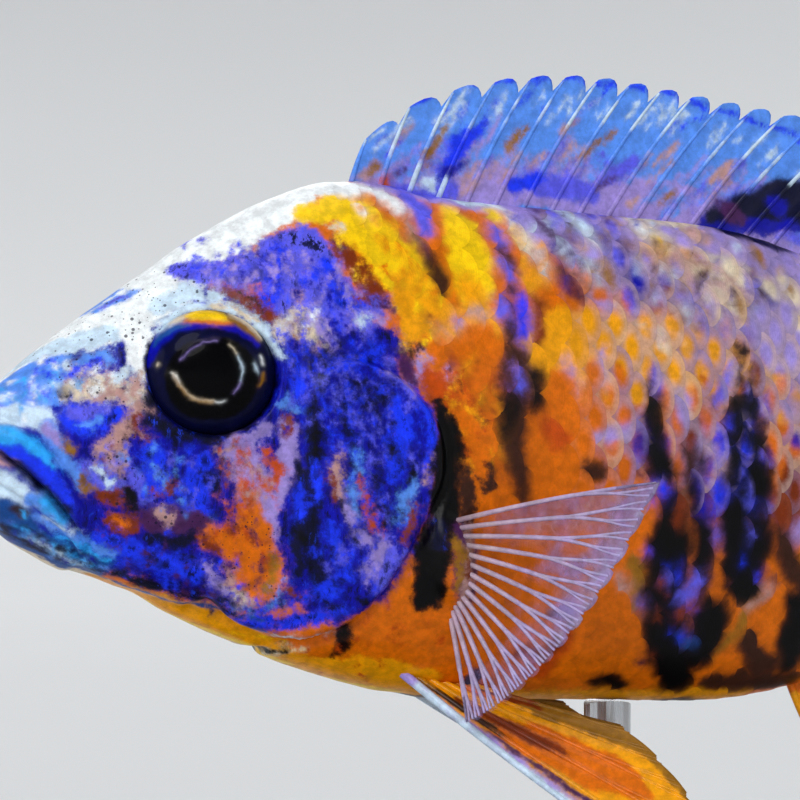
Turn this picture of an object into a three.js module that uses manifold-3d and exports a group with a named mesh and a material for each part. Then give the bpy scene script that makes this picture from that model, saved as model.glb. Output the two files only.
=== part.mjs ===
// A life-size display model of a male peacock cichlid in its orange-blotch colouring, on a plain stand.
// Millimetres: +X runs from the snout to the tail, -Y is the fish's left side, +Z is up.
// The origin is under the middle of the stand's base.
import * as THREE from "three";
import { mergeVertices } from "three/addons/utils/BufferGeometryUtils.js";
import Module from "manifold-3d";

const wasm = await Module();
wasm.setup();

// Driving dimensions. "along" is measured from the tip of the snout, "up" from the body's long axis.
const STANDARD_LENGTH = 116;
const TAIL_FIN_LENGTH = 29;
const AXIS_HEIGHT = 64;
const STAND_ALONG = 54;
const GAP = 0.3;

// Body sections: along, top and bottom of the outline, half the width, the height of the widest point,
// and the roundness of the upper and lower halves (2 is an ellipse, less is sharper).
const SECTIONS = {
  muzzle: { along: 0, top: 4.9, bottom: -1.4, half: 3.5, level: 2.5, crown: 2.2, keel: 2.2 },
  lips: { along: 4.2, top: 7.6, bottom: -5.7, half: 5.1, level: 1.2, crown: 2.1, keel: 2.2 },
  nostril: { along: 8.5, top: 11.0, bottom: -8.2, half: 6.2, level: 0.6, crown: 2.0, keel: 2.2 },
  snout: { along: 13.5, top: 14.5, bottom: -10.1, half: 7.1, level: 0.5, crown: 1.95, keel: 2.2 },
  eye: { along: 20.5, top: 19.2, bottom: -13.3, half: 8.0, level: 0.8, crown: 1.9, keel: 2.2 },
  cheek: { along: 27.5, top: 22.6, bottom: -16.3, half: 8.8, level: 0.6, crown: 1.85, keel: 2.2 },
  nape: { along: 34, top: 24.1, bottom: -18.4, half: 9.4, level: 0.3, crown: 1.8, keel: 2.2 },
  shoulder: { along: 42, top: 22.7, bottom: -19.8, half: 9.6, level: 0, crown: 1.75, keel: 2.15 },
  belly: { along: 55, top: 21.5, bottom: -20.3, half: 8.9, level: -0.2, crown: 1.75, keel: 2.1 },
  vent: { along: 69, top: 19.9, bottom: -20.4, half: 7.4, level: -0.4, crown: 1.75, keel: 1.9 },
  flank: { along: 81, top: 15.4, bottom: -17.2, half: 5.8, level: -0.6, crown: 1.8, keel: 1.8 },
  fin_ends: { along: 93, top: 8.8, bottom: -10.4, half: 4.0, level: -0.6, crown: 1.9, keel: 1.9 },
  stalk: { along: 103, top: 6.1, bottom: -7.4, half: 2.9, level: -0.6, crown: 2, keel: 2 },
  tail_root: { along: STANDARD_LENGTH, top: 6.6, bottom: -7.9, half: 1.7, level: -0.6, crown: 2, keel: 2 },
};
const MUZZLE_ROUNDING = 3.2;
const BODY_RINGS = 38;
const BODY_SIDES = 28;
const RING_CROWDING = { even: 0.35, power: 1.7 };

// The tail end of the body sweeps away from the fish's left side.
const SWEEP = { from: 60, at_tail_root: 4 };

// The mouth's line drops from the front of the muzzle to the corner. Each lip is a raised band beside it, whose
// width is given at shares of the way to the corner.
const MOUTH = { front_up: 3.0, corner_along: 8.8, corner_up: -4.7, droop: 0.45, slot: 0.4, steps: 9 };
const UPPER_LIP = {
  side: 1, proud: 0.65, depth: 1.9,
  widths: [{ share: 0, width: 1.6 }, { share: 0.6, width: 2.7 }, { share: 1, width: 1.7 }],
};
const LOWER_LIP = {
  side: -1, proud: 0.3, depth: 1.5,
  widths: [{ share: 0, width: 2.6 }, { share: 0.5, width: 1.6 }, { share: 1, width: 0.7 }],
};
const JAW_HINGE = { along: 10.4, up: -5.3, throat_along: 16.4, throat_up: -11.4 };
const EYE = { along: 20, up: 7.8, length: 5.6, height: 5.3, depth: 3.8, sunk: 2.0, forward: 12 };
const NOSTRIL = { along: 7.9, up: 6.3, radii: [0.7, 0.7, 0.5] };
const GILL_COVER = { proud: 0.45, thickness: 1.9, from_middle: 1.2, steps: 44 };
const NECK_CUT = { along: 32.1, slant: 0.045 };
const STALK_CUT_ALONG = 99;
const AHEAD = 8;

// Fins: half the thickness of the web and of the rays at root and tip, how far the web's edge falls short of the
// rays' tips, where the ridge of a ray ends between it and its neighbour, and how deep a fin is sunk before trimming.
const WEB = { half: 0.27, notch: 0.45, foot: 0.33 };
const RAY_HALF = { spine: 0.62, soft: 0.5, tail: 0.8, breast: 0.42, tip: 0.26 };
const ROOT_SINK = 1.3;
const BASE = { length: 96, width: 54, height: 8, corner: 12, edge: 1.2 };
const ROD = { along: 57, top_up: -15, radius: 2, sides: 16, collar_radius: 4.5, collar_height: 3 };

const PAINT = {
  head: { color: 0x5a62c8, roughness: 0.38, metalness: 0 },
  lip: { color: 0x2b6fe0, roughness: 0.35, metalness: 0 },
  flank: { color: 0xe08a1c, roughness: 0.4, metalness: 0 },
  gill_cover: { color: 0x2a22b8, roughness: 0.35, metalness: 0 },
  eye: { color: 0x08080c, roughness: 0.06, metalness: 0 },
  upper_fin: { color: 0x79a6ee, roughness: 0.45, metalness: 0 },
  lower_fin: { color: 0xd9930f, roughness: 0.45, metalness: 0 },
  clear_fin: { color: 0xc9b6c4, roughness: 0.4, metalness: 0 },
  base: { color: 0x2b2622, roughness: 0.55, metalness: 0 },
  rod: { color: 0xb9bcc0, roughness: 0.3, metalness: 1 },
};

// A smooth curve through the values of one key of a list of stations, read at any place of another key.
function curveThrough(stations, at, key) {
  const x = stations.map((s) => s[at]);
  const y = stations.map((s) => s[key]);
  const last = x.length - 1;
  const slope = y.map((_, i) => {
    const a = Math.max(0, i - 1);
    const b = Math.min(last, i + 1);
    return (y[b] - y[a]) / (x[b] - x[a]);
  });
  return (place) => {
    let i = 0;
    while (i < last - 1 && place > x[i + 1]) i += 1;
    const h = x[i + 1] - x[i];
    const t = THREE.MathUtils.clamp((place - x[i]) / h, 0, 1);
    const ease = t * t * (3 - 2 * t);
    const lead = t * (1 - t) * (1 - t) * h * slope[i];
    const trail = t * t * (t - 1) * h * slope[i + 1];
    return y[i] + (y[i + 1] - y[i]) * ease + lead + trail;
  };
}

const stations = Object.values(SECTIONS);
const outline = {};
for (const key of ["top", "bottom", "half", "level", "crown", "keel"]) {
  outline[key] = curveThrough(stations, "along", key);
}

// The cross-section at a place along the body, grown outwards by some millimetres.
function sectionAt(along, grow = 0) {
  const s = {};
  for (const key in outline) s[key] = outline[key](along);
  s.top += grow;
  s.bottom -= grow;
  s.half += grow;
  const into = (along + grow) / (MUZZLE_ROUNDING + grow);
  if (into < 1) {
    const share = Math.sqrt(Math.max(0, 1 - (1 - into) ** 2));
    s.top = s.level + (s.top - s.level) * share;
    s.bottom = s.level + (s.bottom - s.level) * share;
    s.half *= share;
  }
  return s;
}

// Half the body's breadth at a height: how far the skin lies from the middle plane.
function breadthAt(along, up) {
  const s = sectionAt(along);
  const rise = up > s.level ? s.top - s.level : s.level - s.bottom;
  const power = up > s.level ? s.crown : s.keel;
  const share = Math.abs(up - s.level) / Math.max(rise, 1e-6);
  return share >= 1 ? 0 : s.half * (1 - share ** power) ** (1 / power);
}

function geometryOf(vertices, triangles) {
  const g = new THREE.BufferGeometry();
  g.setAttribute("position", new THREE.Float32BufferAttribute(vertices.flatMap((v) => [v.x, v.y, v.z]), 3));
  g.setIndex(triangles);
  return g;
}

function solidOf(geometry) {
  const plain = geometry.clone();
  for (const name of Object.keys(plain.attributes)) {
    if (name !== "position") plain.deleteAttribute(name);
  }
  const merged = mergeVertices(plain, 1e-4);
  const vertProperties = merged.attributes.position.array;
  const triVerts = new Uint32Array(merged.index.array);
  return new wasm.Manifold(new wasm.Mesh({ numProp: 3, vertProperties, triVerts }));
}

// The largest closed surface of a solid.
function largest(solid) {
  return solid.decompose().reduce((a, b) => (a.volume() > b.volume() ? a : b));
}

// The whole body as a loft of rings, grown outwards by some millimetres.
function bodySolid(grow = 0) {
  const vertices = [new THREE.Vector3(-grow, 0, sectionAt(-grow, grow).level)];
  const triangles = [];
  const end = STANDARD_LENGTH + grow;
  for (let i = 1; i <= BODY_RINGS; i += 1) {
    const t = i / BODY_RINGS;
    const { even, power: crowding } = RING_CROWDING;
    const along = -grow + (end + grow) * (even * t + (1 - even) * t ** crowding);
    const s = sectionAt(along, grow);
    for (let j = 0; j < BODY_SIDES; j += 1) {
      const angle = (2 * Math.PI * j) / BODY_SIDES;
      const upward = Math.cos(angle) >= 0;
      const power = upward ? s.crown : s.keel;
      const rise = upward ? s.top - s.level : s.level - s.bottom;
      const out = Math.sign(Math.sin(angle)) * Math.abs(Math.sin(angle)) ** (2 / power);
      const lift = Math.sign(Math.cos(angle)) * Math.abs(Math.cos(angle)) ** (2 / power);
      vertices.push(new THREE.Vector3(along, s.half * out, s.level + rise * lift));
    }
  }
  const ring = (i, j) => 1 + (i - 1) * BODY_SIDES + (j % BODY_SIDES);
  for (let j = 0; j < BODY_SIDES; j += 1) {
    triangles.push(0, ring(1, j), ring(1, j + 1));
    for (let i = 1; i < BODY_RINGS; i += 1) {
      triangles.push(ring(i, j), ring(i + 1, j), ring(i + 1, j + 1));
      triangles.push(ring(i, j), ring(i + 1, j + 1), ring(i, j + 1));
    }
  }
  vertices.push(new THREE.Vector3(end, 0, SECTIONS.tail_root.level));
  const cap = vertices.length - 1;
  for (let j = 0; j < BODY_SIDES; j += 1) {
    triangles.push(cap, ring(BODY_RINGS, j + 1), ring(BODY_RINGS, j));
  }
  return solidOf(geometryOf(vertices, triangles));
}

// A side-view outline (along, up) pushed straight through the body between two places across it.
function slabSolid(points, from = -40, to = 40) {
  const shape = new THREE.Shape(points.map(([along, up]) => new THREE.Vector2(along, up)));
  const g = new THREE.ExtrudeGeometry(shape, { depth: to - from, bevelEnabled: false, steps: 1 });
  g.rotateX(Math.PI / 2);
  g.translate(0, to, 0);
  return solidOf(g);
}

// The same, but only through one side of the body, from a little off the middle plane outwards.
function sideSlab(points, side, from_middle) {
  return side < 0 ? slabSolid(points, -40, -from_middle) : slabSolid(points, from_middle, 40);
}

// A flattened ball in body coordinates, turned about the upright by some degrees.
function ellipsoid(along, across, up, radii, turn = 0, wide = 20, high = 12) {
  const g = new THREE.SphereGeometry(1, wide, high);
  g.scale(radii[0], radii[1], radii[2]);
  g.rotateZ(THREE.MathUtils.degToRad(turn));
  g.translate(along, across, up);
  return solidOf(g);
}

// The mouth's line as points from in front of the muzzle to the corner, moved square to itself by a width
// that may change along it.
function mouthLine(widthAt, past = 0) {
  const { front_up, corner_along, corner_up, droop, steps } = MOUTH;
  const drop = corner_up - front_up;
  const points = [];
  for (let i = 0; i <= steps; i += 1) {
    const share = i / steps;
    const slope = (drop * (1 - droop + 2 * droop * share)) / corner_along;
    const further = i === steps ? past : 0;
    const along = corner_along * share + further;
    const up = front_up + drop * ((1 - droop) * share + droop * share * share) + further * slope;
    const square = new THREE.Vector2(-slope, 1).setLength(widthAt(share));
    points.push([along + square.x, up + square.y]);
  }
  return [[points[0][0] - AHEAD, points[0][1]], ...points];
}

// A lip: a band of the skin beside the mouth's line, raised a little, as wide as its list says.
function lipSolid({ side, proud, depth, widths }, grow = 0) {
  const widthAt = curveThrough(widths, "share", "width");
  const near = mouthLine(() => side * (MOUTH.slot / 2 - grow), grow);
  const far = mouthLine((share) => side * (widthAt(share) + grow), grow);
  const outside = grow > 0 ? 2 * proud : proud;
  const skin = bodySolid(outside).subtract(bodySolid(proud - depth - grow));
  return skin.intersect(slabSolid([...near, ...far.reverse()]));
}

// The gill cover's outline in side view, moved outwards by some millimetres. Its low front arm runs under the cheek.
function coverOutline(grow = 0) {
  const rear = [[32, 8.9], [34.8, 7.9], [37.2, 5.8], [38.8, 3.0], [39.0, -0.6], [37.8, -3.6], [35.8, -7.6]];
  const foot = [[34.2, -10.2], [31.4, -12.9], [27, -14.3], [23, -12.8], [20.4, -10.6]];
  const front = [[23.6, -9.8], [26.2, -7.2], [27.1, -3], [27.1, 1.5], [27.7, 6], [29.4, 8.4]];
  const points = [...rear, ...foot, ...front];
  const nodes = points.map(([along, up]) => new THREE.Vector3(along, up, 0));
  const curve = new THREE.CatmullRomCurve3(nodes, true, "centripetal");
  const drawn = [];
  for (let i = 0; i < GILL_COVER.steps; i += 1) {
    const here = curve.getPoint(i / GILL_COVER.steps);
    const way = curve.getTangent(i / GILL_COVER.steps);
    drawn.push([here.x - grow * way.y, here.y + grow * way.x]);
  }
  return drawn;
}

// A fin: each ray is a ridge on a thin web. A ray is { at(v), thick(v) }, v running from root to tip, and
// normal is the direction across the web.
function finSolid(rays, normal, rows) {
  const columns = [];
  rays.forEach((ray, i) => {
    const foot = (other) => (v) => {
      const low = v * (1 - WEB.notch / ray.length);
      return ray.at(low).lerp(other.at(low), WEB.foot);
    };
    if (i > 0) columns.push({ at: foot(rays[i - 1]), half: () => WEB.half });
    columns.push({ at: ray.at, half: ray.thick });
    if (i < rays.length - 1) columns.push({ at: foot(rays[i + 1]), half: () => WEB.half });
  });
  const vertices = [];
  for (const side of [1, -1]) {
    for (const column of columns) {
      for (let k = 0; k <= rows; k += 1) {
        const v = k / rows;
        vertices.push(column.at(v).clone().addScaledVector(normal, side * column.half(v)));
      }
    }
  }
  const size = columns.length * (rows + 1);
  const at = (c, k, side) => side * size + c * (rows + 1) + k;
  const triangles = [];
  for (let c = 0; c < columns.length - 1; c += 1) {
    for (let k = 0; k < rows; k += 1) {
      const [a, b, d, e] = [at(c, k, 0), at(c + 1, k, 0), at(c + 1, k + 1, 0), at(c, k + 1, 0)];
      triangles.push(a, b, d, a, d, e);
      triangles.push(a + size, d + size, b + size, a + size, e + size, d + size);
    }
  }
  const rim = [];
  for (let c = 0; c < columns.length - 1; c += 1) rim.push([c, 0]);
  for (let k = 0; k < rows; k += 1) rim.push([columns.length - 1, k]);
  for (let c = columns.length - 1; c > 0; c -= 1) rim.push([c, rows]);
  for (let k = rows; k > 0; k -= 1) rim.push([0, k]);
  rim.forEach(([c, k], i) => {
    const [d, l] = rim[(i + 1) % rim.length];
    triangles.push(at(c, k, 0), at(c, k, 1), at(d, l, 1), at(c, k, 0), at(d, l, 1), at(d, l, 0));
  });
  const turned = triangles.map((_, i) => triangles[i - (i % 3) + 2 - (i % 3)]);
  const solid = solidOf(geometryOf(vertices, triangles));
  return solid.volume() > 0 ? solid : solidOf(geometryOf(vertices, turned));
}

// A ray that leaves its root for its tip and bows a little on the way.
function bowedRay(root, tip, bow, half) {
  const middle = root.clone().lerp(tip, 0.5).add(bow);
  const curve = new THREE.QuadraticBezierCurve3(root, middle, tip);
  return {
    length: curve.getLength(),
    at: (v) => curve.getPoint(Math.min(1, v)),
    thick: (v) => half + (RAY_HALF.tip - half) * Math.sqrt(v),
  };
}

// Fins on the middle plane: stations give where a ray is rooted and where its tip lies.
const DORSAL = {
  spines: 16, rays: 10, rows: 4, side: 1,
  stations: [
    { root: 33.8, along: 35.4, up: 27.5 },
    { root: 36.5, along: 39.6, up: 30.4 },
    { root: 41, along: 46.4, up: 32.3 },
    { root: 48, along: 55.2, up: 32.8 },
    { root: 58, along: 66.6, up: 31.0 },
    { root: 68, along: 78.4, up: 29.0 },
    { root: 78, along: 93, up: 26.8 },
    { root: 84, along: 106, up: 24 },
    { root: 88, along: 118.6, up: 17.4 },
    { root: 91, along: 117.6, up: 12.6 },
    { root: 96.5, along: 108, up: 8.6 },
  ],
};
const ANAL = {
  spines: 3, rays: 9, rows: 4, side: -1,
  stations: [
    { root: 73.6, along: 77.2, up: -26 },
    { root: 76.2, along: 84, up: -30.8 },
    { root: 79.5, along: 93, up: -31.8 },
    { root: 85.5, along: 108.5, up: -27 },
    { root: 88.8, along: 117, up: -20.8 },
    { root: 91.6, along: 113.6, up: -15 },
    { root: 95.5, along: 104.5, up: -10.6 },
  ],
};

const MIDDLE_BOW = { along: 0.03, up: 0.05 };

function middleFin({ spines, rays, rows, side, stations: places }) {
  const tipAlong = curveThrough(places, "root", "along");
  const tipUp = curveThrough(places, "root", "up");
  const edge = side > 0 ? outline.top : outline.bottom;
  const count = spines + rays;
  const first = places[0].root;
  const last = places[places.length - 1].root;
  const made = [];
  for (let i = 0; i < count; i += 1) {
    const rootAlong = first + ((last - first) * i) / (count - 1);
    const root = new THREE.Vector3(rootAlong, 0, edge(rootAlong) - side * ROOT_SINK);
    const tip = new THREE.Vector3(tipAlong(rootAlong), 0, tipUp(rootAlong));
    const length = root.distanceTo(tip);
    const bow = new THREE.Vector3(-MIDDLE_BOW.along * length, 0, side * MIDDLE_BOW.up * length);
    made.push(bowedRay(root, tip, bow, i < spines ? RAY_HALF.spine : RAY_HALF.soft));
  }
  return finSolid(made, new THREE.Vector3(0, 1, 0), rows);
}

// The tail fin spreads from the whole height of the tail's root to a nearly straight hind edge.
const TAIL = {
  rays: 16, rows: 5, half_height: 17.5, middle_up: -0.7, notch: 3.0, corner: 2.4, root_margin: 0.5, bow: 1.6,
};

function tailFin() {
  const { top, bottom } = SECTIONS.tail_root;
  const made = [];
  for (let i = 0; i < TAIL.rays; i += 1) {
    const t = (2 * i) / (TAIL.rays - 1) - 1;
    const rootUp = (top + bottom) / 2 + t * ((top - bottom) / 2 - TAIL.root_margin);
    const root = new THREE.Vector3(STANDARD_LENGTH - ROOT_SINK, 0, rootUp);
    const reach = TAIL_FIN_LENGTH - TAIL.notch * (1 - t * t) - TAIL.corner * t ** 8;
    const tip = new THREE.Vector3(STANDARD_LENGTH + reach, 0, TAIL.middle_up + TAIL.half_height * t);
    const bow = new THREE.Vector3(0, 0, TAIL.bow * t);
    made.push(bowedRay(root, tip, bow, RAY_HALF.tail));
  }
  return finSolid(made, new THREE.Vector3(0, 1, 0), TAIL.rows);
}

// A breast fin: a fan in a plane that leaves the flank at an angle, opened from just over level to steeply down.
const PECTORAL = {
  rays: 14, rows: 4, along: 38.5, along_low: 40, root_up: -4.9, root_height: 5.4, lean: 10,
  longest: 20, shortest: 9.8, shortening: 2.6, fanning: 1.1, bow_up: 0.04, bow_out: 0.05,
  left: { out_angle: 45, highest: 11, lowest: -83 },
  right: { out_angle: 38, highest: 16, lowest: -62 },
};

function pectoralFin(side) {
  const p = PECTORAL;
  const pose = side < 0 ? p.left : p.right;
  const out = THREE.MathUtils.degToRad(pose.out_angle);
  const lean = THREE.MathUtils.degToRad(p.lean);
  const level = new THREE.Vector3(Math.cos(out), side * Math.sin(out), 0);
  const rise = new THREE.Vector3(0, -side * Math.sin(lean), Math.cos(lean));
  const normal = new THREE.Vector3().crossVectors(level, rise).normalize();
  const made = [];
  for (let i = 0; i < p.rays; i += 1) {
    const t = i / (p.rays - 1);
    const angle = THREE.MathUtils.degToRad(pose.highest + (pose.lowest - pose.highest) * t ** p.fanning);
    const up = p.root_up - p.root_height * t;
    const along = p.along + (p.along_low - p.along) * t;
    const root = new THREE.Vector3(along, side * (breadthAt(along, up) - ROOT_SINK), up);
    const length = p.shortest + (p.longest - p.shortest) * (1 - t) ** p.shortening + ROOT_SINK;
    const way = level.clone().multiplyScalar(Math.cos(angle)).addScaledVector(rise, Math.sin(angle));
    const tip = root.clone().addScaledVector(way, length);
    const bow = rise.clone().multiplyScalar(p.bow_up * length).addScaledVector(normal, side * p.bow_out * length);
    made.push(bowedRay(root, tip, bow, RAY_HALF.breast));
  }
  return finSolid(made, normal, p.rows);
}

// A belly fin: a spine and five rays under the breast, swept back. The left one is spread and the right one folded.
const PELVIC = {
  rows: 5, along: 36.6, root_length: 5, across: 3.6, across_last: 2.8, roll: 20, longest: 31, sag: 0.03,
  lengths: [0.72, 1, 0.85, 0.7, 0.57, 0.44],
  left: { splay: 24, steepest: -41, shallowest: -16 },
  right: { splay: 13, steepest: -30, shallowest: -13 },
};

function pelvicFin(side) {
  const p = PELVIC;
  const pose = side < 0 ? p.left : p.right;
  const splay = THREE.MathUtils.degToRad(pose.splay);
  const roll = THREE.MathUtils.degToRad(p.roll);
  const level = new THREE.Vector3(Math.cos(splay), side * Math.sin(splay), 0);
  const rise = new THREE.Vector3(0, -side * Math.sin(roll), Math.cos(roll));
  const normal = new THREE.Vector3().crossVectors(level, rise).normalize();
  const made = p.lengths.map((share, i) => {
    const t = i / (p.lengths.length - 1);
    const along = p.along + p.root_length * t;
    const across = p.across + (p.across_last - p.across) * t;
    const s = sectionAt(along);
    const drop = (s.level - s.bottom) * (1 - (across / s.half) ** s.keel) ** (1 / s.keel);
    const root = new THREE.Vector3(along, side * across, s.level - drop + ROOT_SINK);
    const angle = THREE.MathUtils.degToRad(pose.steepest + (pose.shallowest - pose.steepest) * t);
    const way = level.clone().multiplyScalar(Math.cos(angle)).addScaledVector(rise, Math.sin(angle));
    const tip = root.clone().addScaledVector(way, p.longest * share + ROOT_SINK);
    const bow = rise.clone().multiplyScalar(-p.sag * p.longest * share);
    return bowedRay(root, tip, bow, i === 0 ? RAY_HALF.spine : RAY_HALF.soft);
  });
  return finSolid(made, normal, p.rows);
}

// How far the tail's sweep moves a place sideways.
function sweepAt(along) {
  const past = Math.max(0, along - SWEEP.from) / (STANDARD_LENGTH - SWEEP.from);
  return SWEEP.at_tail_root * past * past;
}

const part = new THREE.Group();

// Adds a solid in body coordinates as a named mesh, swept with the tail and placed over the stand.
function add(name, solid, paint, swept = true) {
  const { vertProperties, triVerts, numProp } = largest(solid).getMesh();
  const vertices = [];
  for (let i = 0; i < vertProperties.length; i += numProp) {
    const [x, y, z] = vertProperties.slice(i, i + 3);
    vertices.push(new THREE.Vector3(x, swept ? y + sweepAt(x) : y, z));
  }
  const material = new THREE.MeshStandardMaterial(PAINT[paint]);
  const mesh = new THREE.Mesh(geometryOf(vertices, Array.from(triVerts)), material);
  mesh.name = name;
  mesh.position.set(-STAND_ALONG, 0, AXIS_HEIGHT);
  part.add(mesh);
}

const SIDES = { left: -1, right: 1 };
const body = bodySolid();
const bodyWithGap = bodySolid(GAP);

// Cuts through the body: the neck behind the head, the tail's stalk, the jaw under the mouth.
const reach = 60;
const neckAt = (up) => NECK_CUT.along + NECK_CUT.slant * up;
const headSlab = slabSolid([[-AHEAD, -reach], [neckAt(-reach), -reach], [neckAt(reach), reach], [-AHEAD, reach]]);
const trunkSlab = slabSolid([
  [neckAt(-reach) + GAP, -reach], [STALK_CUT_ALONG, -reach], [STALK_CUT_ALONG, reach], [neckAt(reach) + GAP, reach],
]);
const stalkSlab = slabSolid([
  [STALK_CUT_ALONG + GAP, -reach], [2 * STANDARD_LENGTH, -reach],
  [2 * STANDARD_LENGTH, reach], [STALK_CUT_ALONG + GAP, reach],
]);

// Everything below the mouth's line and ahead of a slant from its corner down to the throat.
function jawSlab(square, behind) {
  const line = mouthLine(() => square);
  const hinge = [JAW_HINGE.along + behind, JAW_HINGE.up];
  const throat = [JAW_HINGE.throat_along + behind, JAW_HINGE.throat_up];
  const below = [[JAW_HINGE.throat_along + behind, -reach], [-AHEAD, -reach]];
  return slabSolid([...line, hinge, throat, ...below].reverse());
}

const eyes = {};
const covers = {};
let flesh = body;
for (const [name, side] of Object.entries(SIDES)) {
  const across = side * (breadthAt(EYE.along, EYE.up) - EYE.sunk);
  const radii = [EYE.length, EYE.depth, EYE.height];
  const turn = side * EYE.forward;
  eyes[name] = ellipsoid(EYE.along, across, EYE.up, radii, turn);
  const socket = ellipsoid(EYE.along, across, EYE.up, radii.map((r) => r + GAP), turn);
  const { proud, thickness, from_middle } = GILL_COVER;
  const shell = bodySolid(proud).subtract(bodySolid(proud - thickness));
  const room = bodySolid(2 * proud).subtract(bodySolid(proud - thickness - GAP));
  covers[name] = shell.intersect(sideSlab(coverOutline(), side, from_middle));
  flesh = flesh.subtract(room.intersect(sideSlab(coverOutline(GAP), side, from_middle - GAP)));
  const beside = side * breadthAt(NOSTRIL.along, NOSTRIL.up);
  const pit = ellipsoid(NOSTRIL.along, beside, NOSTRIL.up, NOSTRIL.radii, 0, 10, 6);
  flesh = flesh.subtract(socket).subtract(pit);
}

const lips = { upper_lip: UPPER_LIP, lower_lip: LOWER_LIP };
for (const lip of Object.values(lips)) flesh = flesh.subtract(lipSolid(lip, GAP));

add("head", flesh.intersect(headSlab).subtract(jawSlab(MOUTH.slot / 2, GAP)), "head");
add("lower_jaw", flesh.intersect(jawSlab(-MOUTH.slot / 2, 0)), "lip");
for (const [name, lip] of Object.entries(lips)) add(name, lipSolid(lip), "lip");
add("trunk", flesh.intersect(trunkSlab), "flank");
add("tail_stalk", flesh.intersect(stalkSlab), "flank");
for (const [name, side] of Object.entries(SIDES)) {
  add(`eye_${name}`, eyes[name], "eye");
  add(`gill_cover_${name}`, covers[name], "gill_cover");
  add(`pectoral_fin_${name}`, pectoralFin(side).subtract(bodyWithGap), "clear_fin");
  add(`pelvic_fin_${name}`, pelvicFin(side).subtract(bodyWithGap), "lower_fin");
}
add("dorsal_fin", middleFin(DORSAL).subtract(bodyWithGap), "upper_fin");
add("anal_fin", middleFin(ANAL).subtract(bodyWithGap), "lower_fin");
add("tail_fin", tailFin().subtract(bodyWithGap), "upper_fin");

// The stand: a flat base with rounded corners, a rod up to the belly and a collar round the rod's foot.
function roundedPlate({ length, width, height, corner, edge }) {
  const x = length / 2 - edge;
  const y = width / 2 - edge;
  const r = corner - edge;
  const shape = new THREE.Shape();
  shape.absarc(x - r, y - r, r, 0, Math.PI / 2);
  shape.absarc(-x + r, y - r, r, Math.PI / 2, Math.PI);
  shape.absarc(-x + r, -y + r, r, Math.PI, 1.5 * Math.PI);
  shape.absarc(x - r, -y + r, r, 1.5 * Math.PI, 2 * Math.PI);
  const bevel = { bevelThickness: edge, bevelSize: edge, bevelSegments: 1 };
  const g = new THREE.ExtrudeGeometry(shape, { depth: height - 2 * edge, curveSegments: 4, ...bevel });
  g.translate(STAND_ALONG, 0, edge - AXIS_HEIGHT);
  return solidOf(g);
}

function uprightRod(radius, sides, fromUp, toUp) {
  const g = new THREE.CylinderGeometry(radius, radius, toUp - fromUp, sides);
  g.rotateX(Math.PI / 2);
  g.translate(ROD.along, 0, (fromUp + toUp) / 2);
  return solidOf(g);
}

const baseTop = BASE.height - AXIS_HEIGHT;
const collarTop = baseTop + GAP + ROD.collar_height;
const rod = uprightRod(ROD.radius, ROD.sides, baseTop + GAP, ROD.top_up).subtract(bodyWithGap);
const collar = uprightRod(ROD.collar_radius, ROD.sides, baseTop + GAP, collarTop);
add("stand_base", roundedPlate(BASE), "base", false);
add("stand_rod", rod, "rod", false);
add("stand_collar", collar.subtract(uprightRod(ROD.radius + GAP, ROD.sides, baseTop, collarTop + 1)), "rod", false);

export default part;
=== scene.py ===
"""A life-size display model of a male peacock cichlid: its skin, scales, fins, eyes and markings."""

import math

import bpy
import numpy as np
from mathutils import Matrix, Vector


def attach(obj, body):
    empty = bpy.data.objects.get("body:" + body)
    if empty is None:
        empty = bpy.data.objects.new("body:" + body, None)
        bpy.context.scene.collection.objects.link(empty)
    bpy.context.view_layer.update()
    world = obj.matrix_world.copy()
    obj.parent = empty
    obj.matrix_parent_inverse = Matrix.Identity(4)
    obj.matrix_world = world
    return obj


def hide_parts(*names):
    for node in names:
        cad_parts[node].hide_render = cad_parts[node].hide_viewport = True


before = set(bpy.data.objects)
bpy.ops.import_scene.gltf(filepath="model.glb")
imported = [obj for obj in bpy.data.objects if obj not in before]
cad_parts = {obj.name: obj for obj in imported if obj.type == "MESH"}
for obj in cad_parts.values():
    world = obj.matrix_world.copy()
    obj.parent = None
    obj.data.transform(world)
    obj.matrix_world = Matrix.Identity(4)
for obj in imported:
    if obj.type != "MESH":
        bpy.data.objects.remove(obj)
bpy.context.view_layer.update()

# Lengths are millimetres until a piece is made: "along" runs from the tip of the snout, "across" to the
# fish's right, "up" from the body's long axis. A mesh is written in metres.
MM = 0.001
STANDARD_LENGTH = 116.0
TAIL_FIN_LENGTH = 29.0
AXIS_HEIGHT = 64.0
STAND_ALONG = 54.0
SWEEP = {"from": 60.0, "at_tail_root": 4.0}

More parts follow.
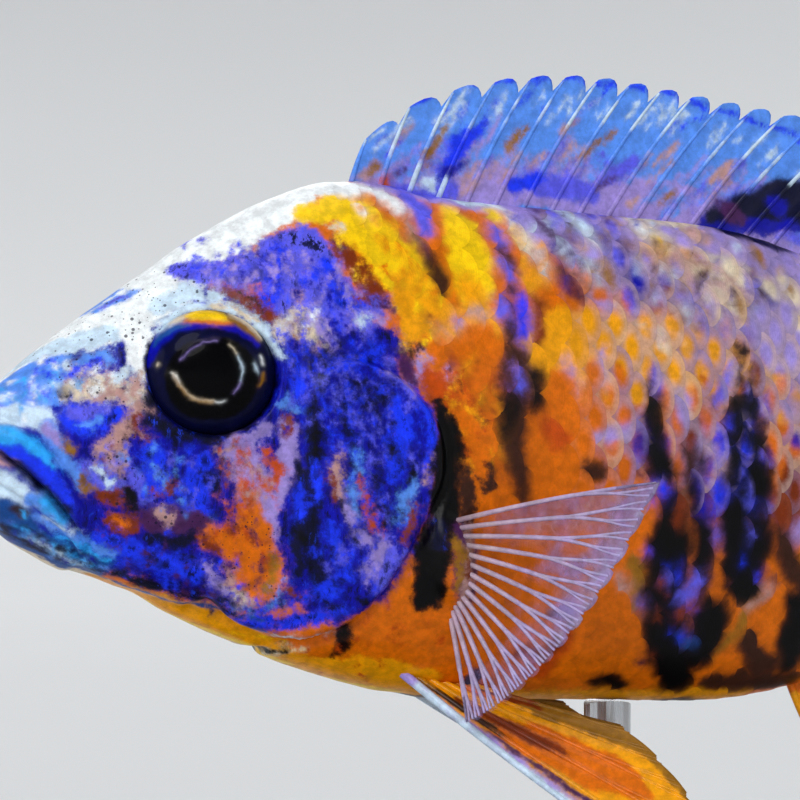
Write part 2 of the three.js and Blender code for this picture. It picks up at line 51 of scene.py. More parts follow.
# Body sections: along, top, bottom, half the width, height of the widest point, roundness above and below it.
SECTION_KEYS = ("along", "top", "bottom", "half", "level", "crown", "keel")
SECTIONS = {
    "muzzle": (0, 4.9, -1.4, 3.5, 2.5, 2.2, 2.2),
    "lips": (4.2, 7.6, -5.7, 5.1, 1.2, 2.1, 2.2),
    "nostril": (8.5, 11.0, -8.2, 6.2, 0.6, 2.0, 2.2),
    "snout": (13.5, 14.5, -10.1, 7.1, 0.5, 1.95, 2.2),
    "eye": (20.5, 19.2, -13.3, 8.0, 0.8, 1.9, 2.2),
    "cheek": (27.5, 22.6, -16.3, 8.8, 0.6, 1.85, 2.2),
    "nape": (34, 24.1, -18.4, 9.4, 0.3, 1.8, 2.2),
    "shoulder": (42, 22.7, -19.8, 9.6, 0, 1.75, 2.15),
    "belly": (55, 21.5, -20.3, 8.9, -0.2, 1.75, 2.1),
    "vent": (69, 19.9, -20.4, 7.4, -0.4, 1.75, 1.9),
    "flank": (81, 15.4, -17.2, 5.8, -0.6, 1.8, 1.8),
    "fin_ends": (93, 8.8, -10.4, 4.0, -0.6, 1.9, 1.9),
    "stalk": (103, 6.1, -7.4, 2.9, -0.6, 2, 2),
    "tail_root": (STANDARD_LENGTH, 6.6, -7.9, 1.7, -0.6, 2, 2),
}
MUZZLE_ROUNDING = 3.2

# The camera of the photo, which shows 12.2 pixels for each millimetre of the fish.
PHOTO_PIXELS = 800
PIXELS_PER_MM = 12.2
CAMERA = {"azimuth": -18.0, "rise": 1.0, "distance": 420.0, "aim": (-19.3, -11.3, 69.7), "sensor": 36.0}


def curve_through(places, values):
    """A smooth curve through values at places, to be read at any place between them."""
    x = np.asarray(places, float)
    y = np.asarray(values, float)
    low = np.maximum(np.arange(len(x)) - 1, 0)
    high = np.minimum(np.arange(len(x)) + 1, len(x) - 1)
    slope = (y[high] - y[low]) / (x[high] - x[low])

    def read(at):
        at = np.asarray(at, float)
        i = np.clip(np.searchsorted(x, at) - 1, 0, len(x) - 2)
        h = x[i + 1] - x[i]
        t = np.clip((at - x[i]) / h, 0, 1)
        ease = t * t * (3 - 2 * t)
        lead = t * (1 - t) ** 2 * h * slope[i]
        trail = t * t * (t - 1) * h * slope[i + 1]
        return y[i] + (y[i + 1] - y[i]) * ease + lead + trail

    return read


section_along, *section_rows = np.array(list(SECTIONS.values()), float).T
OUTLINE = {key: curve_through(section_along, row) for key, row in zip(SECTION_KEYS[1:], section_rows)}


def smooth(edge0, edge1, x):
    t = np.clip((np.asarray(x, float) - edge0) / (edge1 - edge0), 0, 1)
    return t * t * (3 - 2 * t)


def section_at(along):
    """The cross-section at a place along the body."""
    s = {key: OUTLINE[key](along) for key in OUTLINE}
    into = along / MUZZLE_ROUNDING
    share = np.where(into < 1, np.sqrt(np.clip(1 - (1 - into) ** 2, 0, 1)), 1)
    s["top"] = s["level"] + (s["top"] - s["level"]) * share
    s["bottom"] = s["level"] + (s["bottom"] - s["level"]) * share
    s["half"] = s["half"] * share
    return s


def half_form(s, above):
    """How far a section reaches from its widest point, up or down, and how round it is there."""
    rise = np.where(above, s["top"] - s["level"], s["level"] - s["bottom"])
    return rise, np.where(above, s["crown"], s["keel"])


def ring_point(along, turn):
    """Distance from the middle plane and height of the skin at a turn from the back, 0, to the belly, pi."""
    s = section_at(along)
    rise, power = half_form(s, np.cos(turn) >= 0)
    out = s["half"] * np.abs(np.sin(turn)) ** (2 / power)
    lift = rise * np.sign(np.cos(turn)) * np.abs(np.cos(turn)) ** (2 / power)
    return out, s["level"] + lift


def breadth_at(along, up):
    """Half the body's breadth at a height."""
    s = section_at(along)
    rise, power = half_form(s, up > s["level"])
    share = np.clip(np.abs(up - s["level"]) / np.maximum(rise, 1e-6), 0, 1)
    return s["half"] * (1 - share ** power) ** (1 / power)


def turn_at(along, up):
    """The turn from the back at which the skin has that height."""
    s = section_at(along)
    rise, power = half_form(s, up > s["level"])
    share = np.clip((up - s["level"]) / np.maximum(rise, 1e-6), -1, 1)
    return np.arccos(np.sign(share) * np.abs(share) ** (power / 2))


def sweep_at(along):
    past = np.maximum(0, along - SWEEP["from"]) / (STANDARD_LENGTH - SWEEP["from"])
    return SWEEP["at_tail_root"] * past ** 2


def to_world(points):
    """Body places in millimetres as places of the model in metres."""
    p = np.array(points, float)
    p[..., 1] += sweep_at(p[..., 0])
    return (p + (-STAND_ALONG, 0, AXIS_HEIGHT)) * MM


# The skin unrolled: at each place along the body, the "height" of each turn as measured over the skin from
# the widest point, so that it goes on past the back and the belly.
CHART_ALONG = np.linspace(0, STANDARD_LENGTH, 291)
CHART_TURN = np.linspace(0, math.pi, 181)
chart_out, chart_up = ring_point(CHART_ALONG[:, None], CHART_TURN[None, :])
chart_steps = np.hypot(np.diff(chart_out, prepend=0), np.diff(chart_up, prepend=chart_up[:, :1]))
chart_girth = np.cumsum(chart_steps, axis=1)
CHART_HEIGHT = OUTLINE["level"](CHART_ALONG)[:, None] + chart_girth[:, 90:91] - chart_girth


def chart_rows(along):
    """The unrolled heights of all turns at places along the body, one row for each place."""
    i = np.clip(np.asarray(along) / CHART_ALONG[1], 0, len(CHART_ALONG) - 1.001)
    low = i.astype(int)
    share = (i - low)[:, None]
    return CHART_HEIGHT[low] * (1 - share) + CHART_HEIGHT[low + 1] * share


def unrolled(along, turn):
    """The unrolled height of places given by their turn."""
    rows = chart_rows(along)
    j = np.clip(turn / CHART_TURN[1], 0, len(CHART_TURN) - 1.001)
    low = j.astype(int)
    at = np.arange(len(rows))
    return rows[at, low] * (1 - (j - low)) + rows[at, low + 1] * (j - low)


def to_chart(along, up):
    """The unrolled height of places given by their height, also of ones beyond the outline."""
    turn = turn_at(along, up)
    beyond = up - ring_point(along, turn)[1]
    return unrolled(along, turn) + beyond


azimuth = math.radians(CAMERA["azimuth"])
rise_angle = math.radians(CAMERA["rise"])
CAMERA_BACK = np.array([math.sin(azimuth) * math.cos(rise_angle), -math.cos(azimuth) * math.cos(rise_angle),
                        math.sin(rise_angle)])
CAMERA_RIGHT = np.array([math.cos(azimuth), math.sin(azimuth), 0])
CAMERA_UP = np.cross(CAMERA_BACK, CAMERA_RIGHT)
CAMERA_PLACE = np.array(CAMERA["aim"]) + CAMERA_BACK * CAMERA["distance"]
FOCAL_PIXELS = PIXELS_PER_MM * CAMERA["distance"]


def photo_place(pixels, depth_of):
    """Places (along, up) where pixels of the photo fall on the fish, whose distance from the middle plane is
    given by a function of along and up."""
    px, py = np.array(pixels, float).T - PHOTO_PIXELS / 2
    aside, down = (px / FOCAL_PIXELS)[:, None], (py / FOCAL_PIXELS)[:, None]
    rays = -CAMERA_BACK + CAMERA_RIGHT * aside - CAMERA_UP * down
    depth = np.zeros(len(px))
    for _ in range(12):
        reach = (-depth - CAMERA_PLACE[1]) / rays[:, 1]
        at = CAMERA_PLACE + rays * reach[:, None]
        along = at[:, 0] + STAND_ALONG
        up = at[:, 2] - AXIS_HEIGHT
        depth = 0.5 * depth + 0.5 * (depth_of(along, up) - sweep_at(along))
    return along, up


# Colours of the fish and of the light and shade painted on it, as red, green and blue up to 255.
COLOURS = {
    "white": (246, 251, 253), "frost": (206, 229, 248), "sky": (90, 148, 246), "azure": (26, 56, 250),
    "violet": (94, 94, 236), "deep": (12, 14, 164), "navy": (8, 11, 46), "black": (4, 4, 6),
    "lilac": (162, 142, 218), "cream": (226, 210, 182), "tan": (192, 148, 142), "ochre": (152, 104, 24),
    "rust": (126, 48, 12), "brown": (58, 30, 20), "red": (194, 74, 10), "orange": (222, 108, 4),
    "amber": (242, 160, 8), "yellow": (255, 208, 14), "sea": (18, 74, 150), "cyan": (48, 172, 255),
    "plum": (72, 32, 84),
}
NUMBER_OF = {name: number for number, name in enumerate(COLOURS)}
FIELD_LIMIT = 3.0

# Markings of the head and flank in view, in pixels of the photo, among them some painted highlights and
# shadows. Each line is a brush stroke: its colour, the brush's width from its middle to its edge at each point
# of its way, or one width for all of them, and after the colon the way's points. A line with several colours
# strews flecks about its way: how many, their least and greatest size, and how far they stray. A line without
# a colon names those below it. Later ones cover earlier ones.
GROUND = """
deep 150: 60,450 180,420 240,470
deep 50 58 52 30: 310,330 350,390 352,500 330,590
deep 14 24 27 30 26 24 17: 384,390 412,414 418,446 408,492 391,540 374,584 340,608
deep 20 20: 345,340 388,344
amber 48: 560,352 700,360 800,378
lilac 30 44 50 54 60: 534,224 620,250 700,274 770,300 860,330
tan 16 26 34 40: 650,250 710,270 760,300 860,350
cream 8 12 14 14: 690,244 726,262 770,292 830,330
"""
# In the eye rim's and the cheek's strokes, the navy round the lower half of the eye and under it is painted
# shadow below the eye, fading into the cheek's dark blue.
# In the gill cover's strokes, the thin lilac arc along the top of its rear edge is a painted highlight.
# In the mouth's strokes, the cyan along the upper lip's top edge is a painted highlight.
# In the mouth's strokes, the thin navy line between the lips is painted shadow under the upper lip.
# In the snout's strokes, the white along the top of the snout and up the forehead is partly the fish's own white
# and partly a painted highlight of the light from above.
# In the stripe's strokes, the brown stroke by the breast fin's root is painted shadow of the fin.
MARKS = """
snout
sky 34: -30,400 10,388 45,376
white 5: -20,392 10,374 34,357 62,338
white 14 24 30 32 30 24 18: 60,340 90,332 125,315 160,288 200,250 260,215 345,186
white 14 12: 135,330 140,365
frost 10 12 8: 160,306 185,292 216,292
frost 12 14 10: 20,362 60,345 110,335
sky 5 8 5: 100,310 114,303 130,294
violet 3: 108,306 124,298
sky 12 8: 66,368 104,357
azure 5: 70,375 95,362
plum 2.4: 68,362 80,356
cream 9 11 12 10: 70,392 95,386 120,388 138,390
frost 5: 110,376 126,372
tan 5 7 6: 98,396 112,390 124,392
tan 5 6 5: 136,378 142,396 148,414
azure 15 18 12: 74,416 98,418 112,414
violet 5 7 4: 72,410 86,411 102,407
sky 3 5 3: 82,424 92,422 100,418
deep 5 7 4: 118,424 98,438 84,448
frost 13 12: 8,416 42,418
sky 9 8 8: 46,430 62,456 78,478
lilac 6 4: 45,429 56,446
tan 9 10 13 12: 136,402 126,425 108,450 116,466
rust 7 8: 134,416 142,432
ochre 6: 66,443 70,448
ochre 6 8: 84,476 91,487
black 3: 64,394 70,396
frost cyan white azure 60 1.4 3.6 20: -10,404 40,386 70,366
cream white tan plum 50 1.2 3 14: 74,372 104,384 138,390
tan lilac rust brown 36 1.2 3 12: 144,410 120,440 104,466

eye rim
navy 8 10 11 10 9: 152,352 152,398 178,426 218,434 256,414
frost 5 7 7 7 6 4: 158,337 175,314 212,302 246,311 268,335 276,352
cream 2 3 2: 214,303 238,307 256,320

mouth
deep 20 17 15 12: -30,440 20,458 55,482 86,516
cyan 9 10 8 3: -30,428 8,437 34,450 56,468
azure 7 8 8 4: -20,446 20,455 48,474 74,502
frost 12 13 8: -30,468 8,486 32,502
tan 4: -10,456 8,463
sky 9 7: 36,502 58,512
cyan 5 4: 44,504 66,520
navy 3 4 6: 0,453 32,480 70,512
sea 16 18 16: -20,524 40,545 96,568
navy 6 9 8 4: -10,527 24,534 60,550 90,564
sky 3 5 3: 34,516 62,529 92,546
cyan 2 4 3: 58,536 84,548 110,560
frost 1.6 2.2 1.6: 28,538 56,552 84,566
frost 2: 46,518 80,532
sea 6 8 5: -10,520 8,526 24,536
navy 5 7 6 3: -20,518 2,528 30,546 66,560
brown 7: 17,512 19,515
cream 1 1.6 1.6: -20,532 16,550 60,570
cyan sky navy sea deep 80 1 2.4 12: -10,524 50,545 110,570

cheek
deep 12 15 15 9: 150,424 180,440 222,438 262,416
navy 8 10 9 6: 148,418 178,434 222,434 262,414
lilac 4 5 6: 228,444 246,440 266,430
violet 7 10 9: 84,464 104,480 124,492
frost 3 4: 92,468 112,482
violet 7 9: 134,478 146,498
azure 9 12 9: 150,450 158,470 150,490
azure 6 13 16 12: 206,458 200,474 196,492 190,508
navy 3 5 4: 220,452 222,464 220,476
sky 3 4: 152,466 158,474
black 1.6 2.6 2: 173,428 174,458 173,488
navy 6 8: 210,474 214,486
rust 5 8 6: 156,490 164,487 172,491
rust 8 9: 106,498 124,500
black 7 7: 127,492 134,510
rust 9 11: 110,523 130,525
orange 3 4: 114,521 124,523
plum 10 15 12: 146,520 166,521 198,524
tan 4 6: 160,512 168,520
navy 5 7 6: 150,536 172,541 198,534
azure 8 12 13 12: 98,540 130,550 165,562 196,574
sky 3 5: 84,544 112,556
navy 6 9 9 6: 112,574 150,584 205,597 236,606
sea 3 4 4 3: 96,578 150,596 205,612 262,620
azure 4 6 7 7 6: 196,600 240,612 282,617 316,616 340,610
sky 2 3 2: 236,606 262,603 284,602
lilac 13 17 16 10: 240,446 248,474 262,505 270,540
lilac 9 10 8: 290,428 286,460 278,500
sky 4 5 3: 279,405 290,402 298,407
rust 5 6: 288,416 289,430
red 4 7 8: 264,452 278,472 270,490
red 4 6: 240,454 246,472
orange 8 23 28 24: 250,500 250,532 254,560 260,582
tan 3 5 6 6: 226,566 230,582 238,594 250,600
ochre 4 5: 276,560 268,588
orange 12 12 9: 214,538 228,538 236,560
rust 4 7 5: 200,534 206,541 216,548
red 6 7: 242,484 246,502
lilac 3 4 4: 204,560 211,574 222,590
cream 4: 228,590 240,601
sky 2 3 3 2: 284,576 280,592 270,604 254,610
rust 4 5: 286,588 292,592
navy 3 8 8 4: 296,462 302,500 300,540 296,572
azure navy azure violet sky 70 1.4 3.6 28: 110,470 170,470 205,500
azure navy azure plum 90 1.6 4.4 22: 110,550 180,568 270,612
red orange rust plum 90 0.9 2.6 26: 244,456 240,520 256,572
tan lilac red tan 70 1.2 3.2 20: 232,448 262,506

temple
violet 12 15 12: 180,271 198,270 216,275
violet 20 24 24 22: 240,272 272,260 304,246 318,262
violet 28 26 18: 288,290 330,292 366,312
azure 8 10 8: 276,252 274,276 268,300
azure 7 8 7: 322,262 330,284 344,306
rust 3 7 8 5: 216,284 240,294 262,308 275,323
brown 2 3: 238,290 262,306
tan 3 5: 297,292 300,312
cream 11 14 11: 284,330 304,322 318,332
lilac 6 8: 322,322 330,336
ochre 4: 296,339 300,334
deep 12 14: 340,334 352,352
lilac 4 6 4: 354,321 366,318 384,319
frost 3: 362,319 370,319
plum 6 9 7: 362,292 380,300 394,310
rust 4 5: 358,298 364,300
azure 9 12 9: 346,364 362,358 378,350
navy 5 8 6: 320,344 326,364 322,384
black 3 5: 362,336 372,342
azure 7 9 7: 290,356 296,374 300,392
azure deep violet lilac 150 1.6 4.6 30: 200,272 270,268 320,290 370,316
azure navy violet black deep 150 1.8 5 36: 296,350 350,366 380,400
white tan lilac ochre 30 1.2 3 16: 284,328 320,328

gill cover
navy 5 9 10 9 7: 312,404 316,450 308,500 312,556 326,596
black 5 7 6: 312,396 320,430 318,462
navy 6 10 6: 366,384 380,400 374,426
black 2 5 2: 372,386 384,398 380,414
navy 6 9 6: 338,400 344,424 352,440
navy 6 10 9 5: 300,506 308,540 320,570 336,592
black 2 4 4 2: 296,520 302,540 310,556 314,580
black 3 6 5: 380,486 382,502 386,522
black 4 6 3: 411,458 414,468 409,482
navy 3 5 3: 346,486 344,504 346,524
azure 6 11 13 9: 396,404 404,420 398,444 392,474
azure 3 5 7 7 6: 398,384 418,398 431,424 433,452 428,476
violet 4 6 5: 388,375 398,384 410,398
lilac 2 3 2: 388,373 400,381 412,394
sky 5 8 7: 414,486 407,500 399,514
tan 2 3 2: 434,462 430,476 424,486
rust 3 5 4: 414,508 408,524 402,540
sky 4 7 6 4: 357,458 358,474 354,490 354,508
tan 3 5 5: 338,456 335,474 340,494
rust 3 4: 331,478 334,498
red 3 5 6 4: 360,480 366,500 370,518 374,534
lilac 5 6 6: 348,508 354,524 360,540
lilac 8 12 8 3: 372,536 377,554 369,570 364,580
violet 6 8 5: 388,552 384,572 376,590
azure 4 6 5: 300,486 302,502 298,516
azure 4 6 4: 318,466 316,482 312,498
azure 4 7 8 5: 328,524 336,550 344,572 336,590
azure 5 9 8: 296,600 322,592 346,574
violet 4 6: 346,412 358,424
violet 4: 404,548 400,564
navy 4 6 5: 322,600 330,607 338,613
black 2 5 3: 354,597 362,602 372,598
sea 4 6: 240,616 262,618
azure black navy violet azure deep 260 1.4 4.2 40: 316,400 376,440 376,500 330,590

breast
orange 22 26 34 30: 315,660 360,636 410,634 440,646
amber 24 26 22: 300,666 356,672 420,682
yellow 12 14 10: 296,670 336,684 392,692
amber 4 11 15 17 18 18: 84,580 111,589 162,611 213,632 256,648 304,664
yellow 4 8 9 7: 116,594 165,613 215,633 290,664
navy 2 5 6 4: 92,568 148,585 206,602 246,612
azure 3 5 6 5 3: 238,615 262,619 290,621 318,620 340,611
sea 1.5 2.2 1.5: 190,606 240,622 276,628
cream 3 3 2.4 2: 86,582 140,610 190,634 246,656
frost 1 1.8 1: 262,634 300,636 332,633
cream 2 7 7 2: 232,642 252,650 278,653 300,650
black 4 7.5 4: 244,648 265,652 288,651
black 7 8 5: 346,630 340,644 334,656
black 5 10 12 8: 418,688 442,690 464,690 478,672
red orange 60 1 2.6 30: 330,656 380,634 436,626

nape
yellow 12 15 20: 306,214 335,206 365,212
yellow 20 26 26: 352,228 382,240 400,268
amber 22 22: 408,290 424,330
orange 22 24 26 22: 432,350 454,385 472,430 482,480
red 12 14: 430,378 448,396
orange 4 8: 314,224 330,234
rust 8 12 10: 336,242 354,266 374,286
plum 4 5: 336,240 343,248
white 4 5: 358,204 362,210
cream 4: 334,226 342,228
white 8 9 8: 352,182 380,190 402,208
violet 10 12 9: 404,194 422,210 428,228
tan 4 5: 408,222 416,234
yellow 10 18 24 18: 452,210 464,230 472,262 474,292
amber 12 14: 470,284 474,300
brown 5 10 11 7: 418,236 428,254 438,276 444,290
plum 3 5: 420,240 426,252
amber 14 18: 448,318 484,322
orange 18 22 20 16: 480,340 486,380 492,430 494,470
lilac 4 6 4: 426,354 422,366 417,378
plum 5 8 6: 404,350 410,366 414,382
lilac 4: 446,366 450,374
red 6 8: 458,366 466,378
brown 3 5 4: 408,340 414,356 420,344
tan 4 5: 438,328 442,332
tan 6 7: 472,312 484,316
lilac 4: 456,320 460,324
orange amber yellow yellow 70 2 4.4 30: 340,215 400,262 440,330
red orange rust amber 80 2 5 30: 440,350 480,400 490,470

stripe
black 7 15 19 20 18 15: 442,406 450,434 449,466 448,506 430,556 429,596
navy 4 6: 434,520 440,540
brown 6 10 9: 466,470 472,498 466,524
plum 8 14 14 9: 456,528 462,546 462,574 464,598
tan 3 5 6 6: 466,528 466,548 464,576 462,600
ochre 4 8 7 3: 452,536 457,552 457,568 456,582
rust 3 4: 464,556 466,572
violet 5 6: 494,228 502,244
brown 5 7 7: 502,248 508,266 514,290
violet 5 6: 502,262 512,280
brown 5 9 10 8: 510,296 512,326 512,356 508,384
violet 6 8 6: 500,300 504,308 504,316
azure 7 9 6: 524,300 524,314 522,336
rust 6 8: 542,296 540,334
brown 10 15 15 13 10: 520,350 522,385 516,425 518,460 524,492
black 10 14: 536,372 540,404
black 8 11 8: 508,392 512,410 508,430
violet 4 6: 516,366 520,386
brown 7 8: 491,468 492,486

upper flank
white 8 9 7: 482,190 490,196 498,206
yellow 7 8: 488,208 494,216
cream 8 9 8: 508,214 522,232 532,250
yellow 6 7: 514,230 518,238
amber 6 7 8: 542,248 546,262 542,284
amber 5 8 6: 524,258 530,278 536,292
violet 8 9 7: 510,192 540,202 556,212
plum 3 5 4: 528,196 546,212 556,232
plum 4 7 6: 536,214 552,230 562,246
frost 7 10 9: 562,200 574,218 596,238
frost 6 8 8: 560,244 572,256 590,268
tan 5 6: 574,238 584,248
rust 6 10 8: 562,272 574,284 584,296
brown 3 5 4: 560,270 570,280 578,294
plum 4 6: 566,276 574,290
violet 8 10 9: 604,214 616,228 610,250
deep 3 6 4: 598,236 608,250 614,262
ochre 7 8: 602,262 610,280
violet 10 15 14: 624,256 634,280 636,298
deep 6 12 13 9: 622,262 632,278 640,292 646,304
rust 4 6: 652,290 656,306
lilac 5 7: 602,302 612,308
violet 5 8 8: 592,218 606,236 616,254
cream 11 15 13: 628,208 644,226 664,242
yellow 3 5 3: 648,230 656,240 664,250
white 4 6 4: 626,214 636,224 650,232
amber 6 7: 654,246 662,252
amber 5 7: 686,250 694,254
tan 8 9: 694,228 704,236
frost 6 8: 668,268 676,274
cream 9 14 14: 702,272 716,284 734,300
ochre 6 7: 684,280 690,292
violet 5 8 7: 694,298 702,312 706,324
frost 6 7: 684,308 692,318
ochre 5 7: 738,298 746,310
deep 4 7 6 3: 752,268 758,282 768,300 778,316
violet 5 7 5: 750,274 756,286 762,296
ochre 5 8 5: 752,246 758,254 764,262
brown 5 8 6: 762,288 774,306 786,320
brown 4 6 5: 700,262 706,276 700,290
rust 4 6 4: 668,286 676,300 674,314
cream 10 12: 786,280 800,296
sky 6 8 7: 764,316 774,336 784,356
plum 5 9 8: 774,306 786,324 796,342
deep 6 10 9: 784,330 792,354 800,376
frost tan violet ochre plum deep brown 150 2.4 6 46: 530,220 640,256 790,310
amber cream tan violet 60 2.4 6 34: 640,320 720,350 800,400

flank
amber 16 22 22 14: 560,322 590,330 616,330 650,344
amber 7 9: 680,332 682,352
amber 6 8: 703,362 708,376
lilac 3 5 4: 606,348 604,366 606,384
lilac 3 4 4: 568,360 576,384 572,410
cream 4 6: 660,330 664,346
orange 18 24 26 24: 562,386 568,424 562,460 550,490
orange 9 12 9: 596,372 594,396 596,416
orange 8 11 8: 620,372 622,396 624,414
red 9 10: 552,424 562,440
lilac 7 9: 602,436 628,430
brown 8 9: 588,466 600,470
tan 6 8: 620,452 632,462
lilac 8 12 12 10: 682,392 692,420 698,446 694,470
orange 6 9 7: 666,388 670,406 672,422
orange 6 8 6: 699,396 700,410 704,424
red 3 4: 704,378 706,384
orange 12 16 15: 625,450 632,480 630,520
red 14 15: 560,640 540,670
ochre 8 10: 636,560 640,600
tan 5 6: 620,580 626,590
lilac 8 9: 786,396 794,410
rust 14 16 16: 794,470 790,500 786,540
orange 8 10: 784,386 778,396
rust 8 11 8: 704,500 706,514 704,530
brown 14 16: 750,640 760,670
brown 12 17 15: 712,682 748,684 790,680
ochre 6 7 5: 752,600 738,632 718,652
tan 6 7: 750,606 768,590

bars
black 8 14 15 17: 654,380 657,404 654,440 662,474
black 17 26 28 28 24: 674,500 672,540 664,590 668,640 676,680
violet 6 8 5: 656,370 660,378 658,388
deep 5 7 6: 640,420 644,434 642,446
azure 5 7: 654,484 664,492
orange 5 6: 670,404 672,420
rust 5 6: 684,500 680,520
black 9 18 27: 741,350 747,376 750,406
rust 4 7 5: 758,350 762,368 764,386
violet 5 7 6: 730,366 724,386 716,402
violet 4 6: 768,396 770,410
brown 10 15 16 14 10: 690,450 698,486 704,530 704,570 702,600
black 7 11 13 12 8: 706,452 700,486 702,520 704,550 700,584
deep 4 7 6: 698,470 708,492 704,512
black 26 35 35 31 24: 743,420 744,460 748,500 748,545 744,584
black 22 24: 712,618 698,652
azure 6 9 6: 718,428 722,452 716,470
azure 7 10 6: 714,482 722,494 716,510
lilac 6 8: 704,446 712,452
violet 6 10 7: 700,578 690,590 680,598
violet 3 5: 716,526 718,540
sea 4 5: 684,636 690,646
rust 5 7: 694,604 684,614
black 20 20: 800,604 790,660
brown 9 14 12: 780,532 790,556 800,584
rust 7 8: 700,424 690,440
azure navy violet rust 26 2 4.4 26: 660,420 672,540 672,660
azure navy violet brown 26 2 4.4 28: 744,380 748,480 742,590

belly
amber 7 8 8 4: 500,696 570,704 640,706 700,708
rust 7 10 8: 520,650 544,656 560,640
black 8 11: 558,614 570,617
black 11 14 11: 598,684 608,682 620,686
"""

# The same for the part behind the photo's edge, in millimetres along and up.
REAR_MARKS = """
lilac 3.2 3.6 3: 71,11 80,8 90,4
cream 1.3 1.5: 73.5,12.5 78,9.6
amber 2 3 2.2: 74.8,-8 80,-8.5 88,-6
black 1 2.2 2.4 1.6: 76.5,13 77.5,6 77,-3 75.5,-12
azure 0.5 0.7 0.5: 75,4 74.6,0 74.8,-5
orange 1.6 2.2: 81.5,2 82,-6
violet 0.8 1.1: 81,9 83.5,6.5
black 0.9 1.8 2 1.2: 86,9.5 86.5,3 86,-4 84.5,-11
lilac 1 1.4: 90,-1.5 91.5,-5
rust 1.2 1.4: 90.5,5.5 92,2
black 0.7 1.5 1.5 0.9: 94.5,6.5 95,1.5 94.6,-4 93.6,-9
azure 0.4 0.6: 97,2 97.2,-2.5
amber 1.6 2: 99.5,1.5 100,-3
black 0.8 1.3 0.8: 103.5,4.5 104,-0.5 103.4,-6
lilac 1.3 1.5: 107.5,2.5 108,-3
violet 1.2 1.6 1.2: 114,5 114.8,-0.5 114,-6
black 1 1.2: 112.5,0.6 112.8,-1.4
brown 1.3 1.3: 69.5,-17 70.5,-17.5
orange amber rust tan lilac 110 0.3 0.9 9: 74,2 90,1 112,0
black brown deep violet 80 0.25 0.8 9: 74,2 90,1 112,0
"""

# Marks that cross the ridge of the back and the keel of the belly: a colour, widths and places along, in
# millimetres.
# The white along the forehead's ridge is partly the fish's own white and partly a painted highlight of the light
# from above.
RIDGE_MARKS = """
sky 2 2.4 2: -1 2 4
frost 1.2 1.6 2.2: 3 5 8
white 2.6 3.4 3.8 3.4 2.4: 8 13 20 26 31
sky 0.6 0.8: 11 13.2
lilac 2 2.6 3.2 3.2: 36 50 75 97
violet 1.2: 38 41
frost 1.3: 44 46
violet 1.5: 52 56
cream 1.4: 60 64
navy 1.6: 68 73
violet 1.4: 84 88
azure 1.2: 98 101
lilac 1.4: 106 111
"""
KEEL_MARKS = """
sea 2.6 3.4 3.2: -1 4 9
cream 0.6 1.6 1.2: 5 12 15
amber 2.6 4.2 4.4: 12.5 17 22
yellow 3 4.2 3.4: 23 28 34
amber 3 3.2 3: 38 52 68
black 1.2: 39 41
brown 1.4: 62 64
orange 2.4 2.2: 72 96
brown 1.2: 84 86
rust 1.4: 101 104
"""

# Where the bare skin is strewn with fine dark dots.
DOTTED = """
navy 44: 60,340 110,326 160,290
navy 30: 74,384 116,376 142,396
navy 30: 140,420 110,456
navy 46: 140,500 220,540 270,560
"""

# The upper fin's markings. The flecks are streaks that run along its spines.
DORSAL_MARKS = """
sky 300: 600,120
lilac 8 18 22 26 28 26: 360,186 420,184 520,186 600,194 690,212 800,250
azure 2 3 3 3 3 3: 362,134 400,106 460,85 560,77 660,90 800,138
lilac sky violet sky tan 150 1.6 3.4 26: 370,176 450,170 560,168 680,182 810,220
frost sky azure frost 70 1.2 2.6 12: 372,146 420,122 500,104 620,108 720,134 820,170
tan 5 6: 364,178 378,168
ochre 4 5: 370,176 378,166
red 4 6 4: 384,186 388,180 390,176
plum 3 5: 396,178 404,168
ochre 3 5 5 3: 422,168 430,154 438,142 446,128
azure 8 11 10 5: 440,178 452,160 464,142 484,122
deep 6 8 5: 440,182 446,174 464,164
violet 8 9 9: 396,194 424,194 452,192
frost 6 7: 424,180 430,184
ochre 3 5 3: 506,150 514,140 526,126
tan 3 4 3: 532,166 538,158 544,152
tan 3 4 3: 562,134 568,128 578,120
ochre 2 4 3 2: 576,164 586,154 600,142 616,130
azure 8 12 10: 512,184 530,182 556,186
violet 10 12 10: 546,188 570,188 590,194
violet 5 9 6: 586,192 610,176 634,158
plum 2 4 2: 592,190 606,182 618,174
tan 2 4 3: 652,166 662,156 678,144
ochre 3 4: 662,202 674,192
tan 5 7 5: 714,182 722,174 732,166
tan 4 3: 630,204 640,196
deep 12 24 28 30 28 20: 708,224 744,214 782,208 820,214 860,232 900,260
navy 8 16 22 24 22 16: 712,216 744,206 782,198 820,204 860,222 900,250
plum 4 8 5: 718,204 732,212 742,222
deep 6 8: 770,202 782,208
violet 4 6: 786,236 800,240
"""

SPINE_LEANS = (-0.85, -0.55)
STREAK_STRETCH = (3.0, 8.0)


def stroke_reach(spots, line, widths):
    """How far inside a brush stroke each spot of a plane lies: negative outside it."""
    best = widths[0] - np.hypot(*(spots - line[0]).T)
    for a, b, width_a, width_b in zip(line[:-1], line[1:], widths[:-1], widths[1:]):
        way = b - a
        share = np.clip(((spots - a) @ way) / (way @ way), 0, 1)
        gap = np.hypot(*(spots - a - share[:, None] * way).T)
        best = np.maximum(best, width_a + (width_b - width_a) * share - gap)
    return best


def brush(colour, width, line):
    """A mark with its colour's number, and one width for each point."""
    return NUMBER_OF[colour], np.broadcast_to(np.array(width, float), len(line)), np.array(line, float)


